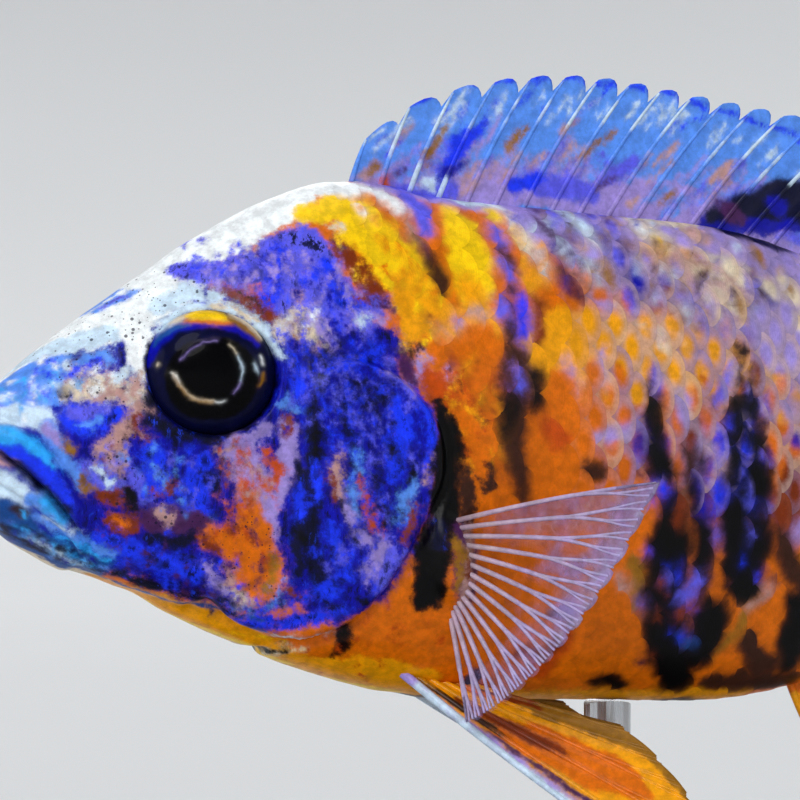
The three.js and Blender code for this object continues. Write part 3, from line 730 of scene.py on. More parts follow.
def scattered(colours, count, least, greatest, stray, line, draw, leans=(-0.6, 0.6), stretch=(0.3, 1.3)):
    """Small flecks strewn about a line, most of them taller than wide."""
    line = np.array(line, float)
    made = []
    for _ in range(int(count)):
        place = draw.uniform(0, len(line) - 1.001)
        low = int(place)
        middle = line[low] + (line[low + 1] - line[low]) * (place - low) + draw.normal(0, stray / 2, 2)
        size = draw.uniform(least, greatest)
        lean = draw.uniform(*leans)
        reach = size * draw.uniform(*stretch) * np.array([math.sin(lean), math.cos(lean)])
        colour = colours[int(draw.integers(len(colours)))]
        made.append(brush(colour, (size * 0.8, size * 0.5), [middle - reach, middle + reach]))
    return made


def read_marks(rows, draw=None, *slant):
    """Marks from lines of text, as the note above the ground's markings explains them."""
    made = []
    for head, _, way in (row.partition(":") for row in rows.splitlines()):
        if not way:
            continue
        words = head.split()
        colours = [word for word in words if word in COLOURS]
        sizes = [float(word) for word in words[len(colours):]]
        line = [[float(number) for number in place.split(",")] for place in way.split()]
        if len(colours) > 1:
            made += scattered(colours, *sizes, line, draw, *slant)
        else:
            made.append(brush(colours[0], sizes, line))
    return made


def photo_marks(marks, depth_of):
    """Marks given in the photo's pixels, as marks in millimetres along and up."""
    ends = np.cumsum([len(line) for _, _, line in marks])[:-1]
    places = np.stack(photo_place(np.vstack([line for _, _, line in marks]), depth_of), 1)
    return [(colour, widths / PIXELS_PER_MM, line)
            for (colour, widths, _), line in zip(marks, np.split(places, ends))]


def unrolled_marks(marks):
    return [(colour, widths, np.stack([line[:, 0], to_chart(line[:, 0], line[:, 1])], 1))
            for colour, widths, line in marks]


def middle_marks(rows, turn_number):
    """Marks that follow the middle line of the back or the belly."""
    return [(colour, widths, np.column_stack([along, chart_rows(along[:, 0])[:, turn_number]]))
            for colour, widths, along in read_marks(rows)]


def flank_marks():
    draw = np.random.default_rng(70)
    made = unrolled_marks(photo_marks(read_marks(GROUND), breadth_at))
    made += middle_marks(RIDGE_MARKS, 0) + middle_marks(KEEL_MARKS, -1)
    made += unrolled_marks(photo_marks(read_marks(MARKS, draw), breadth_at))
    return made + unrolled_marks(read_marks(REAR_MARKS, draw))


def painted(spots, marks, ground):
    """For each spot, how deep it lies inside the area of each colour. Later marks cover earlier ones."""
    field = np.full((len(spots), len(COLOURS)), -FIELD_LIMIT)
    field[:, NUMBER_OF[ground]] = FIELD_LIMIT
    order = np.argsort(spots[:, 0])
    sorted_along = spots[order, 0]
    for colour, widths, line in marks:
        margin = widths.max() + FIELD_LIMIT
        low, high = line.min(0) - margin, line.max(0) + margin
        first, last = np.searchsorted(sorted_along, (low[0], high[0]))
        near = order[first:last]
        near = near[(spots[near, 1] > low[1]) & (spots[near, 1] < high[1])]
        if len(near) == 0:
            continue
        reach = stroke_reach(spots[near], line, widths)
        some = field[near]
        kept = np.maximum(some[:, colour], reach)
        some = np.minimum(some, -reach[:, None])
        some[:, colour] = kept
        field[near] = some
    return np.clip(field, -FIELD_LIMIT, FIELD_LIMIT)


def deepest(fields, *colours):
    """How deep each spot lies in the nearest of some colours."""
    return np.maximum.reduce([fields[:, NUMBER_OF[colour]] for colour in colours])


def cloud(spots, lump, seed):
    """Smooth noise from -1 to 1 over a plane, with lumps of a given size."""
    cells = 128
    grid = np.random.default_rng(seed).uniform(-1, 1, (cells, cells))
    place = spots / lump
    low = np.floor(place).astype(int)
    f = place - low
    f = f * f * (3 - 2 * f)
    (x, y), (u, v) = low.T, f.T
    near = grid[x % cells, y % cells] * (1 - u) + grid[(x + 1) % cells, y % cells] * u
    far = grid[x % cells, (y + 1) % cells] * (1 - u) + grid[(x + 1) % cells, (y + 1) % cells] * u
    return near * (1 - v) + far * v


def astray(spots, lump, reach_along, reach_up, seed):
    """How far cloudy noise moves each spot of a plane."""
    return np.stack([reach_along * cloud(spots, lump, seed), reach_up * cloud(spots, lump, seed + 1)], 1)


FLANK_MARKS = flank_marks()


# How ragged the marks' edges are along and up: how far noise moves them, its lumps and its seed.
RAGGED = (((0.3, 2.2, 11), (0.24, 0.7, 12)), ((0.3, 2.2, 13), (0.24, 0.7, 14)))


def body_paint(along, height, side):
    """The colour fields of places on the skin. The right side's markings differ from the left's away from the
    snout, the back and the belly."""
    spots = np.stack([along, height], 1)
    ragged = np.stack([sum(reach * cloud(spots, lump, seed) for reach, lump, seed in noises)
                       for noises in RAGGED], 1)
    edge = np.minimum(chart_rows(along)[:, 0] - height, height - chart_rows(along)[:, -1])
    free = smooth(1, 9, edge) * smooth(14, 40, along) * (side > 0)
    other = np.stack([2.6 * cloud(spots, 9, 15), 3.2 * cloud(spots, 8, 16)], 1) * free[:, None]
    return painted(spots + ragged + other, FLANK_MARKS, "orange")


def dotted_share(along, height):
    """How thickly the bare skin is strewn with fine dark dots."""
    spots = np.stack([along, height], 1)
    share = np.full(len(spots), 0.25)
    for _, widths, line in unrolled_marks(photo_marks(read_marks(DOTTED), breadth_at)):
        share = np.maximum(share, smooth(-1.5, 1.5, stroke_reach(spots, line, widths)))
    return share


# Forms of the head.
MOUTH = {"front_up": 3.0, "corner_along": 8.8, "corner_up": -4.7, "droop": 0.45, "depth": 0.95, "gap": 0.2}
LIP_CREASE = {"depth": 0.22, "off": 0.1, "above": 0.28, "below": 0.25}
UPPER_LIP = {"proud": 0.62, "widths": curve_through((0, 0.6, 1), (1.7, 2.7, 1.7))}
LOWER_LIP = {"proud": 0.38, "widths": curve_through((0, 0.5, 1), (2.6, 1.7, 0.8))}
NOSTRIL = {"along": 7.9, "up": 6.3, "radius": 0.42, "rim": 0.16, "pit": 0.75}
EYE = {"along": 20.0, "up": 7.8, "length": 5.6, "height": 5.3, "depth": 3.8, "sunk": 2.0, "forward": 12.0}
SOCKET = {"length": 5.25, "height": 4.95, "depth": 2.7, "rim": 0.3, "furrow": 0.12}
PORES = {
    "depth": 0.26, "radius": 0.34,
    "pixels": [(67, 445), (88, 482), (18, 513), (115, 499), (118, 524), (104, 404), (126, 470), (160, 500),
               (212, 520), (60, 404)],
}
PAD = {"along": 40.0, "up": -7.7, "length": 2.6, "height": 4.6, "slant": -0.25, "rise": 1.35}
COAT_DEPTH = 0.2

# The gill cover's outline, along and up, and its step. The creases' depths, widths and ways.
GILL_COVER = [(32, 8.9), (34.8, 7.9), (37.2, 5.8), (38.8, 3.0), (39.0, -0.6), (37.8, -3.6), (35.8, -7.6),
              (34.2, -10.2), (31.4, -12.9), (27, -14.3), (23, -12.8), (20.4, -10.6),
              (23.6, -9.8), (26.2, -7.2), (27.1, -3), (27.1, 1.5), (27.7, 6), (29.4, 8.4)]
GILL_STEP = 0.5
CREASES = {
    "cheek_rear": (0.3, 0.5, [(27.2, 9.4), (27.2, 4), (27, -2), (26, -7), (23.4, -10.2), (19, -11.6)]),
    "jaw_edge": (0.34, 0.40, [(9.6, -8.4), (13.5, -10.2), (18.0, -11.6), (22.5, -12.9), (27.5, -14.2)]),
    "lip_end": (0.34, 0.42, [(9.2, 0.4), (10.2, -2.4), (10.4, -5.2), (9.8, -7.6)]),
    "under_eye": (0.16, 0.55, [(13.6, 3.4), (15.6, 1.6), (19.2, 1.0), (23.4, 1.8), (26.2, 4.6)]),
    "throat": (0.50, 0.30, [(21.3, -14.6), (23.6, -15.3), (25.6, -15.4)]),
    "gill_fold": (0.20, 0.40, [(29.8, 1.6), (32.4, 1.0), (35.2, 0.9), (37.6, 1.2)]),
    "brow": (0.14, 0.60, [(13.2, 10.6), (15.6, 13.6), (19.4, 15.0), (23.8, 14.2), (27.0, 11.4)]),
}


def closed_curve(points, steps=8):
    """Points on a smooth closed curve through given ones."""
    p = np.array(points, float)
    before, after, later = np.roll(p, 1, 0), np.roll(p, -1, 0), np.roll(p, -2, 0)
    t = np.linspace(0, 1, steps, endpoint=False)[None, :, None]
    p0, p1, p2, p3 = (q[:, None] for q in (before, p, after, later))
    curve = 0.5 * (2 * p1 + (p2 - p0) * t + (2 * p0 - 5 * p1 + 4 * p2 - p3) * t ** 2
                   + (3 * p1 - p0 - 3 * p2 + p3) * t ** 3)
    return curve.reshape(-1, 2)


def distance_to(spots, line):
    """Distance from each spot to a line of points."""
    return -stroke_reach(spots, line, np.zeros(len(line)))


def inside(spots, outline):
    """Whether each spot lies inside a closed outline."""
    x, y = spots.T
    result = np.zeros(len(spots), bool)
    for (ax, ay), (bx, by) in zip(outline, np.roll(outline, -1, 0)):
        crosses = (ay > y) != (by > y)
        result ^= crosses & (x < (bx - ax) * (y - ay) / (by - ay + 1e-12) + ax)
    return result


GILL_OUTLINE = closed_curve(GILL_COVER)


def mouth_line(along):
    share = along / MOUTH["corner_along"]
    drop = MOUTH["front_up"] - MOUTH["corner_up"]
    bend = (1 - MOUTH["droop"]) + 2 * MOUTH["droop"] * share
    return MOUTH["front_up"] - drop * ((1 - MOUTH["droop"]) * share + MOUTH["droop"] * share ** 2), (
        -drop * bend / MOUTH["corner_along"])


def bell(gap, width):
    return np.exp(-(gap / width) ** 2)


def hump(share):
    """A rounded ridge, 1 at a share of half and 0 outside 0 to 1."""
    return np.clip(1 - (2 * share - 1) ** 2, 0, 1) ** 0.6


def lips(along, up):
    share = along / MOUTH["corner_along"]
    line, slope = mouth_line(along)
    gap = (up - line) / np.hypot(1, slope)
    held = np.clip(share, 0, 1)
    upper_width, lower_width = UPPER_LIP["widths"](held), LOWER_LIP["widths"](held)
    end = smooth(1.16, 0.98, share)
    rise = UPPER_LIP["proud"] * hump(gap / upper_width) + LOWER_LIP["proud"] * hump(-gap / lower_width)
    crease = LIP_CREASE["depth"] * bell(gap - upper_width - LIP_CREASE["off"], LIP_CREASE["above"])
    crease += LIP_CREASE["depth"] * bell(gap + lower_width + LIP_CREASE["off"], LIP_CREASE["below"])
    return (rise - crease - MOUTH["depth"] * bell(gap, MOUTH["gap"])) * end


def nostril(along, up):
    gap = np.hypot(along - NOSTRIL["along"], up - NOSTRIL["up"]) / NOSTRIL["radius"]
    return NOSTRIL["rim"] * bell(gap - 1.7, 0.55) - NOSTRIL["pit"] * smooth(1.35, 0.6, gap)


def socket(along, up):
    reach = np.hypot((along - EYE["along"]) / SOCKET["length"], (up - EYE["up"]) / SOCKET["height"])
    rim = SOCKET["rim"] * bell(reach - 1.09, 0.07) - SOCKET["furrow"] * bell(reach - 1.27, 0.08)
    return rim - SOCKET["depth"] * smooth(1.03, 0.9, reach)


def gill_cover(spots):
    gap = distance_to(spots, np.vstack([GILL_OUTLINE, GILL_OUTLINE[:1]]))
    depth_in = np.where(inside(spots, GILL_OUTLINE), gap, -gap)
    free = smooth(27.5, 31.5, spots[:, 0]) + smooth(-9.5, -12, spots[:, 1])
    free = np.clip(free, 0, 1)
    sharp = GILL_STEP * smooth(-0.1, 0.3, depth_in)
    soft = GILL_STEP * smooth(-1.6, 1.8, depth_in)
    gap_behind = GILL_STEP * bell(depth_in + 0.45, 0.4)
    flap = 0.12 * bell(depth_in - 0.7, 0.45)
    return free * (sharp + flap - gap_behind) + (1 - free) * soft


def pores(spots):
    """Small pits of the head's sense organs."""
    places = np.stack(photo_place(PORES["pixels"], breadth_at), 1)
    return PORES["depth"] * sum(bell(np.hypot(*(spots - place).T), PORES["radius"]) for place in places)


def fin_pads(spots):
    """The fleshy root of the breast fin."""
    gap = np.hypot((spots[:, 0] - PAD["along"] - PAD["slant"] * (spots[:, 1] - PAD["up"])) / PAD["length"],
                   (spots[:, 1] - PAD["up"]) / PAD["height"])
    return PAD["rise"] * smooth(1.0, 0.25, gap)


def sculpt(along, up):
    """How far the head's forms stand out from the body's plain outline, in millimetres."""
    spots = np.stack([along, up], 1)
    front = np.array(along) < 45
    rise = np.zeros(len(along))
    a, u, s = along[front], up[front], spots[front]
    head = lips(a, u) + nostril(a, u) + socket(a, u) + gill_cover(s)
    for depth, width, line in CREASES.values():
        head -= depth * bell(distance_to(s, np.array(line, float)), width)
    head += (0.07 * cloud(s, 2.1, 21) - pores(s)) * smooth(2, 5, a)
    rise[front] = head + fin_pads(s)
    return rise


# Where the scales begin behind the bare head: heights and places along.
SCALES_FROM = ((-22, -14, -9, 4, 8, 13, 20, 26), (45.5, 45.5, 44, 43.4, 42, 38.5, 33, 31))


def scaled_share(along, up):
    """How fully scales cover a place."""
    return smooth(-0.6, 1.4, along - np.interp(up, *SCALES_FROM))


def set_out(name, data):
    """Puts an object for a mesh, a light or a camera into the scene."""
    thing = bpy.data.objects.new(name, data)
    bpy.context.scene.collection.objects.link(thing)
    return thing


def plain_piece(name, points, edges=(), faces=()):
    mesh = bpy.data.meshes.new(name)
    mesh.from_pydata(points, edges, faces)
    return set_out(name, mesh)


def mesh_piece(name, points_mm, faces, material):
    """A smooth piece from points in the body's millimetres and faces of point numbers."""
    piece = plain_piece(name, to_world(points_mm).tolist(), faces=faces)
    piece.data.shade_smooth()
    piece.data.materials.append(material)
    return piece


def closed_rings(rings, start=None, end=None):
    """Faces between rings of point numbers, with fans that close the first and the last ring."""
    beside = np.roll(rings, -1, 1)
    faces = np.stack([rings[:-1], rings[1:], beside[1:], beside[:-1]], 2).reshape(-1, 4).tolist()
    if start is not None:
        faces = [[start, a, b] for a, b in zip(rings[0].tolist(), beside[0].tolist())] + faces
    if end is not None:
        faces += [[end, b, a] for a, b in zip(rings[-1].tolist(), beside[-1].tolist())]
    return faces


def keep(mesh, name, values):
    """Keeps a number or three for each point of a mesh."""
    kind, word = ("FLOAT", "value") if values.ndim == 1 else ("FLOAT_VECTOR", "vector")
    mesh.attributes.new(name, kind, "POINT").data.foreach_set(word, values.astype(np.float32).ravel())


def keep_paint(mesh, fields, masks):
    """Keeps the colour fields on a mesh's points, three to an attribute, and the masks: how frayed the
    paint is, how dotted it is, and one more share."""
    for first in range(0, fields.shape[1], 3):
        keep(mesh, "paint_%d" % (first // 3), fields[:, first:first + 3])
    keep(mesh, "masks", np.stack(masks, 1))


# Rings of the skin: close together on the head, wider apart behind it.
RING_STEPS = [(MUZZLE_ROUNDING, 30, 0.2), (30, 42, 0.3), (42, STANDARD_LENGTH, 0.6)]
MUZZLE_RINGS = 16
SIDE_STEPS = 150


def ring_places():
    stretches = [MUZZLE_ROUNDING * (1 - np.cos(np.linspace(0, math.pi / 2, MUZZLE_RINGS + 1)[1:]))]
    for start, end, step in RING_STEPS:
        count = round((end - start) / step)
        stretches.append(np.linspace(start, end, count + 1)[1:])
    return np.concatenate(stretches)


def even_turns(along, count):
    """Turns that divide each ring's half into even lengths of skin."""
    lengths = [row[0] - row for row in chart_rows(along)]
    shares = np.linspace(0, 1, count + 1)
    return np.array([np.interp(shares * length[-1], length, CHART_TURN) for length in lengths])


def skin_grid():
    """The rings' places, turns, sides and points: down the left side, then up the right one."""
    places = ring_places()
    half = even_turns(places, SIDE_STEPS)
    turns = np.hstack([half, half[:, -2:0:-1]])
    side = np.ones(turns.shape[1])
    side[:SIDE_STEPS + 1] = -1
    along = np.repeat(places[:, None], turns.shape[1], 1)
    out, up = ring_point(along, turns)
    points = np.stack([along, out * side, up], 2)
    round_way = np.roll(points, -1, 1) - np.roll(points, 1, 1)
    long_way = np.gradient(points, places, axis=0)
    normal = np.cross(round_way, long_way)
    normal /= np.linalg.norm(normal, axis=2, keepdims=True)
    return along, turns, np.broadcast_to(side, along.shape), points, normal


def make_skin(material):
    along, turns, side, points, normal = skin_grid()
    flat = along.ravel()
    up = points[..., 2].ravel()
    cover = scaled_share(flat, up)
    rise = sculpt(flat, up) - COAT_DEPTH * cover
    moved = points.reshape(-1, 3) + normal.reshape(-1, 3) * rise[:, None]
    tip = len(moved)
    front = (-0.02, 0.0, float(OUTLINE["level"](0.0)))
    rear = (STANDARD_LENGTH, 0.0, float(OUTLINE["level"](STANDARD_LENGTH)))
    faces = closed_rings(np.arange(tip).reshape(along.shape), tip, tip + 1)
    faces = [face[:1] + face[:0:-1] for face in faces]
    piece = mesh_piece("skin", np.vstack([moved, front, rear]), faces, material)
    height = unrolled(flat, turns.ravel())
    fields = body_paint(flat, height, side.ravel())
    fray = (1 - 0.55 * cover) * (0.35 + 0.65 * smooth(4, 10, flat))
    dots = dotted_share(flat, height) * (1 - 0.7 * cover)
    blue = deepest(fields, "azure", "deep", "violet", "navy")
    ink = smooth(-0.2, 0.7, blue) * (1 - cover) * smooth(7, 11, flat)
    keep_paint(piece.data, np.vstack([fields, fields[:1], fields[-1:]]),
               [np.append(mask, (0, 0)) for mask in (fray, dots, ink)])
    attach(piece, "root")
    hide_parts("head", "lower_jaw", "upper_lip", "lower_lip", "gill_cover_left", "gill_cover_right",
                "trunk", "tail_stalk")
    return piece


class Tree:
    """A node tree, with short ways to add to it."""

    def __init__(self, tree):
        self.tree = tree

    def add(self, kind, settings=None, **inputs):
        node = self.tree.nodes.new(kind)
        for key, value in (settings or {}).items():
            setattr(node, key, value)
        for key, value in inputs.items():
            self.feed(node.inputs[int(key[1:])] if key[0] == "i" and key[1:].isdigit() else
                      node.inputs[key.replace("_", " ")], value)
        return node

    def feed(self, socket_in, value):
        if isinstance(value, bpy.types.NodeSocket):
            self.tree.links.new(value, socket_in)
        elif isinstance(value, bpy.types.Node):
            self.tree.links.new(value.outputs[0], socket_in)
        else:
            socket_in.default_value = value


class Growth(Tree):
    """A Geometry Nodes tree with named inputs, which ends in real and painted meshes."""

    def __init__(self, name, inputs):
        super().__init__(bpy.data.node_groups.new(name, "GeometryNodeTree"))
        for label, kind in inputs.items():
            self.tree.interface.new_socket(label, in_out="INPUT", socket_type="NodeSocket" + kind)
        self.tree.interface.new_socket("Geometry", in_out="OUTPUT", socket_type="NodeSocketGeometry")
        self.given = self.add("NodeGroupInput").outputs

    def named(self, name, kind="FLOAT"):
        node = self.add("GeometryNodeInputNamedAttribute", {"data_type": kind}, Name=name)
        return node.outputs["Attribute"]

    def finished(self, geometry):
        real = self.add("GeometryNodeRealizeInstances", Geometry=geometry)
        paint = self.add("GeometryNodeSetMaterial", Geometry=real, Material=self.given["Material"])
        self.add("NodeGroupOutput", Geometry=paint)
        return self.tree


class Nodes(Tree):
    """A material's nodes."""

    def __init__(self, name):
        self.material = bpy.data.materials.new(name)
        self.material.use_nodes = True
        super().__init__(self.material.node_tree)
        self.shader = self.tree.nodes["Principled BSDF"]

    def math(self, operation, a, b=0.0, c=0.0):
        return self.add("ShaderNodeMath", {"operation": operation}, i0=a, i1=b, i2=c).outputs[0]

    def vector(self, operation, a, b):
        return self.add("ShaderNodeVectorMath", {"operation": operation}, i0=a, i1=b).outputs[0]

    def scaled(self, a, share):
        return self.add("ShaderNodeVectorMath", {"operation": "SCALE"}, i0=a, Scale=share).outputs[0]

    def split(self, a):
        return self.add("ShaderNodeSeparateXYZ", i0=a).outputs

    def mixed(self, share, a, b):
        return self.add("ShaderNodeMix", {"data_type": "RGBA"}, i0=share, i6=a, i7=b).outputs[2]

    def ramp(self, value, low, high, to_low=0.0, to_high=1.0):
        return self.add("ShaderNodeMapRange", {"interpolation_type": "SMOOTHSTEP"}, i0=value, i1=low, i2=high,
                        i3=to_low, i4=to_high).outputs[0]

    def attribute(self, name):
        return self.add("ShaderNodeAttribute", {"attribute_name": name}).outputs["Vector"]

    def object_place(self):
        return self.add("ShaderNodeTexCoord").outputs["Object"]

    def noise(self, place, scale, detail, roughness, output="Fac"):
        return self.add("ShaderNodeTexNoise", Vector=place, Scale=scale, Detail=detail,
                        Roughness=roughness).outputs[output]

    def mottle(self, place):
        return self.noise(place, PER_MM * 0.9, 4.0, 0.7)

    def dress(self, **values):
        """Feeds the shader's own sockets."""
        for name, value in values.items():
            self.feed(self.shader.inputs[name.replace("_", " ")], value)

    def finished(self, colour, roughness, height, strength, distance):
        """The material with its colour, its roughness and a bump by some height."""
        bump = self.add("ShaderNodeBump", Height=height, Strength=strength, Distance=distance)
        self.dress(Base_Color=colour, Roughness=roughness, Normal=bump)
        return self.material

    def wet(self, coat, coat_roughness=0.1, specular=0.13):
        self.dress(Coat_Weight=coat, Coat_Roughness=coat_roughness, Specular_IOR_Level=specular)


# Colours of the finishes, as red, green and blue up to 255.
FINISHES = {
    "bright_ink": (34, 74, 255), "dark_ink": (5, 6, 28), "dots": (14, 14, 46), "lilac_edge": (150, 134, 182),
    "tan_edge": (200, 166, 136), "wood": (34, 20, 14), "pale_wood": (74, 44, 28), "wood_fibres": (18, 11, 9),
    "steel": (176, 178, 182), "pale_steel": (202, 203, 205), "backdrop": (222, 223, 224),
    "pale_backdrop": (228, 229, 230),
}


def linear(name):
    """A colour as the light values that a shader takes."""
    c = np.array(COLOURS[name] if name in COLOURS else FINISHES[name], float) / 255
    return tuple(np.where(c <= 0.04045, c / 12.92, ((c + 0.055) / 1.055) ** 2.4)) + (1.0,)


# How the paint's edges fray: how sharp they are, how far they stray, how fine the noises are and how far
# shifted.
SHARPNESS = 5.5
SCALE_SHARPNESS = 3.4
FRAY_MM = 2.3
FRAY_NOISES = ((1.1, 0.0), (1.9, 0.037), (0.75, 0.081))
PER_MM = 1000.0
UPRIGHT = (1.0, 1.0, 0.36)
DOT_SIZES = ((1.5, 0.27), (3.1, 0.26))


def blended_paint(n, place, fray, sharpness=SHARPNESS):
    """The colour where fields of all colours meet: the deepest one wins, with a frayed edge."""
    channels = []
    for lump, shift in FRAY_NOISES:
        shifted = n.vector("ADD", place, (shift, 2 * shift, 3 * shift))
        colour = n.noise(shifted, PER_MM * lump, 5.0, 0.72, "Color")
        channels += list(n.split(n.vector("SUBTRACT", colour, (0.5, 0.5, 0.5))))
    reach = n.math("MULTIPLY", fray, FRAY_MM)
    against = n.math("MULTIPLY", fray, -FRAY_MM)
    total = None
    weights = None
    for number, name in enumerate(COLOURS):
        if number % 3 == 0:
            fields = n.split(n.attribute("paint_%d" % (number // 3)))
        way = against if number // len(channels) % 2 else reach
        frayed = n.math("MULTIPLY_ADD", channels[number % len(channels)], way, fields[number % 3])
        weight = n.math("EXPONENT", n.math("MULTIPLY", frayed, sharpness))
        tinted = n.scaled(linear(name)[:3], weight)
        total = tinted if total is None else n.vector("ADD", total, tinted)
        weights = weight if weights is None else n.math("ADD", weights, weight)
    return n.scaled(total, n.math("DIVIDE", 1.0, weights))


def fine_dots(n, place, per_mm, share, largest):
    """Round dots of many sizes, more of them where the share is high."""
    cells = n.add("ShaderNodeTexVoronoi", Vector=place, Scale=PER_MM * per_mm)
    chance = n.split(cells.outputs["Color"])[0]
    radius = n.math("MULTIPLY", n.ramp(chance, 0.1, 1.0, 0.0, largest), share)
    return n.ramp(n.math("SUBTRACT", cells.outputs["Distance"], radius), -0.09, 0.0, 1.0, 0.0)


def inked(n, place, colour, share):
    """Dark and bright strands, drawn out upright, as the blue skin of the head has them."""
    drawn = n.vector("MULTIPLY", place, UPRIGHT)
    strands = n.noise(drawn, PER_MM * 1.3, 6.0, 0.75)
    for paint, low, high, strength in (("bright_ink", 0.44, 0.36, 0.7), ("dark_ink", 0.5, 0.57, 0.95)):
        drawn_share = n.math("MULTIPLY", n.ramp(strands, low, high, 0.0, strength), share)
        colour = n.mixed(drawn_share, colour, linear(paint))
    return colour


def paint_material(name, gloss=0.34, coat=0.06, lumps=0.0001, clear=None, ink=False, coat_roughness=0.1,
                   specular=0.09):
    """The fish's painted skin: blended marks, mottled, finely dotted and wet. A clear one lets light
    through at its least solid places, by as much as the two shares say."""
    n = Nodes(name)
    place = n.object_place()
    masks = n.split(n.attribute("masks"))
    colour = blended_paint(n, place, masks[0])
    if ink:
        colour = inked(n, place, colour, masks[2])
    mottle = n.mottle(place)
    colour = n.scaled(colour, n.ramp(mottle, 0.3, 0.72, 0.76, 1.16))
    dots = n.math("MAXIMUM", *(fine_dots(n, place, fine, masks[1], largest) for fine, largest in DOT_SIZES))
    colour = n.mixed(n.math("MULTIPLY", dots, 0.8), colour, linear("dots"))
    n.wet(coat, coat_roughness, specular)
    if clear:
        grained = n.math("MULTIPLY_ADD", n.math("SUBTRACT", mottle, 0.5), 0.5, masks[2])
        n.dress(Alpha=n.ramp(grained, 0.0, 1.0, *clear))
    grain = n.noise(place, PER_MM * 1.6, 4.0, 0.65)
    return n.finished(colour, n.ramp(mottle, 0.3, 0.7, gloss + 0.06, gloss - 0.05), grain, 0.5, lumps)


# Fins. A fin's surface is drawn between rays: a place on it has a ray number, which may lie between two
# rays, and a share of the way from root to tip.
ROOT_SINK = 1.3
MIDDLE_BOW = {"along": -0.03, "up": 0.05}
DORSAL = {
    "spines": 16, "rays": 10, "side": 1,
    "stations": [(33.8, 35.4, 27.5), (36.5, 39.6, 30.4), (41, 46.4, 32.3), (48, 55.2, 32.8), (58, 66.6, 31.0),
                 (68, 78.4, 29.0), (78, 93, 26.8), (84, 106, 24), (88, 118.6, 17.4), (91, 117.6, 12.6),
                 (96.5, 108, 8.6)],
}
ANAL = {
    "spines": 3, "rays": 9, "side": -1,
    "stations": [(73.6, 77.2, -26), (76.2, 84, -30.8), (79.5, 93, -31.8), (85.5, 108.5, -27), (88.8, 117, -20.8),
                 (91.6, 113.6, -15), (95.5, 104.5, -10.6)],
}
TAIL = {"rays": 16, "half_height": 17.5, "middle_up": -0.7, "notch": 3.0, "corner": 2.4, "root_margin": 0.5,
        "bow": 1.6}
PECTORAL = {
    "rays": 14, "along": 38.5, "along_low": 40, "root_up": -4.9, "root_height": 5.4, "lean": 10,
    "longest": 20, "shortest": 9.8, "shortening": 2.6, "fanning": 1.1, "bow_up": 0.04, "bow_out": 0.05,
    "left": {"out": 45, "highest": 11, "lowest": -83}, "right": {"out": 38, "highest": 16, "lowest": -62},
}
PELVIC = {
    "along": 36.6, "root_length": 5, "across": 3.6, "across_last": 2.8, "roll": 20, "longest": 31, "sag": -0.03,
    "lengths": (0.72, 1, 0.85, 0.7, 0.57, 0.44),
    "left": {"splay": 24, "steepest": -41, "shallowest": -16},
    "right": {"splay": 13, "steepest": -30, "shallowest": -13},
}


class Fin:
    """The rays of a fin as three points each: root, bowed middle and tip."""

    def __init__(self, roots, tips, bows, across):
        self.roots = np.array(roots, float)
        self.tips = np.array(tips, float)
        self.middles = (self.roots + self.tips) / 2 + np.array(bows, float)
        self.across = np.array(across, float)
        self.lengths = np.linalg.norm(self.tips - self.roots, axis=1)

    def on_ray(self, number, share):
        t = np.asarray(share, float)[..., None]
        a, b, c = self.roots[number], self.middles[number], self.tips[number]
        return a * (1 - t) ** 2 + b * 2 * t * (1 - t) + c * t * t

    def at(self, number, share):
        """The place at a ray number and a share of the way to the tip."""
        number = np.clip(number, 0, len(self.roots) - 1)
        low = np.minimum(np.floor(number).astype(int), len(self.roots) - 2)
        u = (number - low)[..., None]
        return self.on_ray(low, share) * (1 - u) + self.on_ray(low + 1, share) * u


def middle_fin(sizes):
    stations = np.array(sizes["stations"], float).T
    side = sizes["side"]
    count = sizes["spines"] + sizes["rays"]
    root_along = np.linspace(stations[0][0], stations[0][-1], count)
    edge = OUTLINE["top"] if side > 0 else OUTLINE["bottom"]
    roots = np.stack([root_along, 0 * root_along, edge(root_along) - side * ROOT_SINK], 1)
    tips = np.stack([curve_through(stations[0], stations[1])(root_along), 0 * root_along,
                     curve_through(stations[0], stations[2])(root_along)], 1)
    lengths = np.linalg.norm(tips - roots, axis=1)
    bows = np.stack([MIDDLE_BOW["along"] * lengths, 0 * lengths, side * MIDDLE_BOW["up"] * lengths], 1)
    return Fin(roots, tips, bows, (0, 1, 0))


def tail_fin():
    top, bottom = SECTIONS["tail_root"][1:3]
    t = np.linspace(-1, 1, TAIL["rays"])
    root_up = (top + bottom) / 2 + t * ((top - bottom) / 2 - TAIL["root_margin"])
    reach = TAIL_FIN_LENGTH - TAIL["notch"] * (1 - t ** 2) - TAIL["corner"] * t ** 8
    roots = np.stack([0 * t + STANDARD_LENGTH - ROOT_SINK, 0 * t, root_up], 1)
    tips = np.stack([STANDARD_LENGTH + reach, 0 * t, TAIL["middle_up"] + TAIL["half_height"] * t], 1)
    return Fin(roots, tips, np.stack([0 * t, 0 * t, TAIL["bow"] * t], 1), (0, 1, 0))


def fan_frame(side, swing, lean):
    """The directions of a paired fin: out along its level ray, up its plane, and square to it."""
    swing, lean = math.radians(swing), math.radians(lean)
    level = np.array([math.cos(swing), side * math.sin(swing), 0])
    rise = np.array([0, -side * math.sin(lean), math.cos(lean)])
    square = np.cross(level, rise)
    return level, rise, square / np.linalg.norm(square)


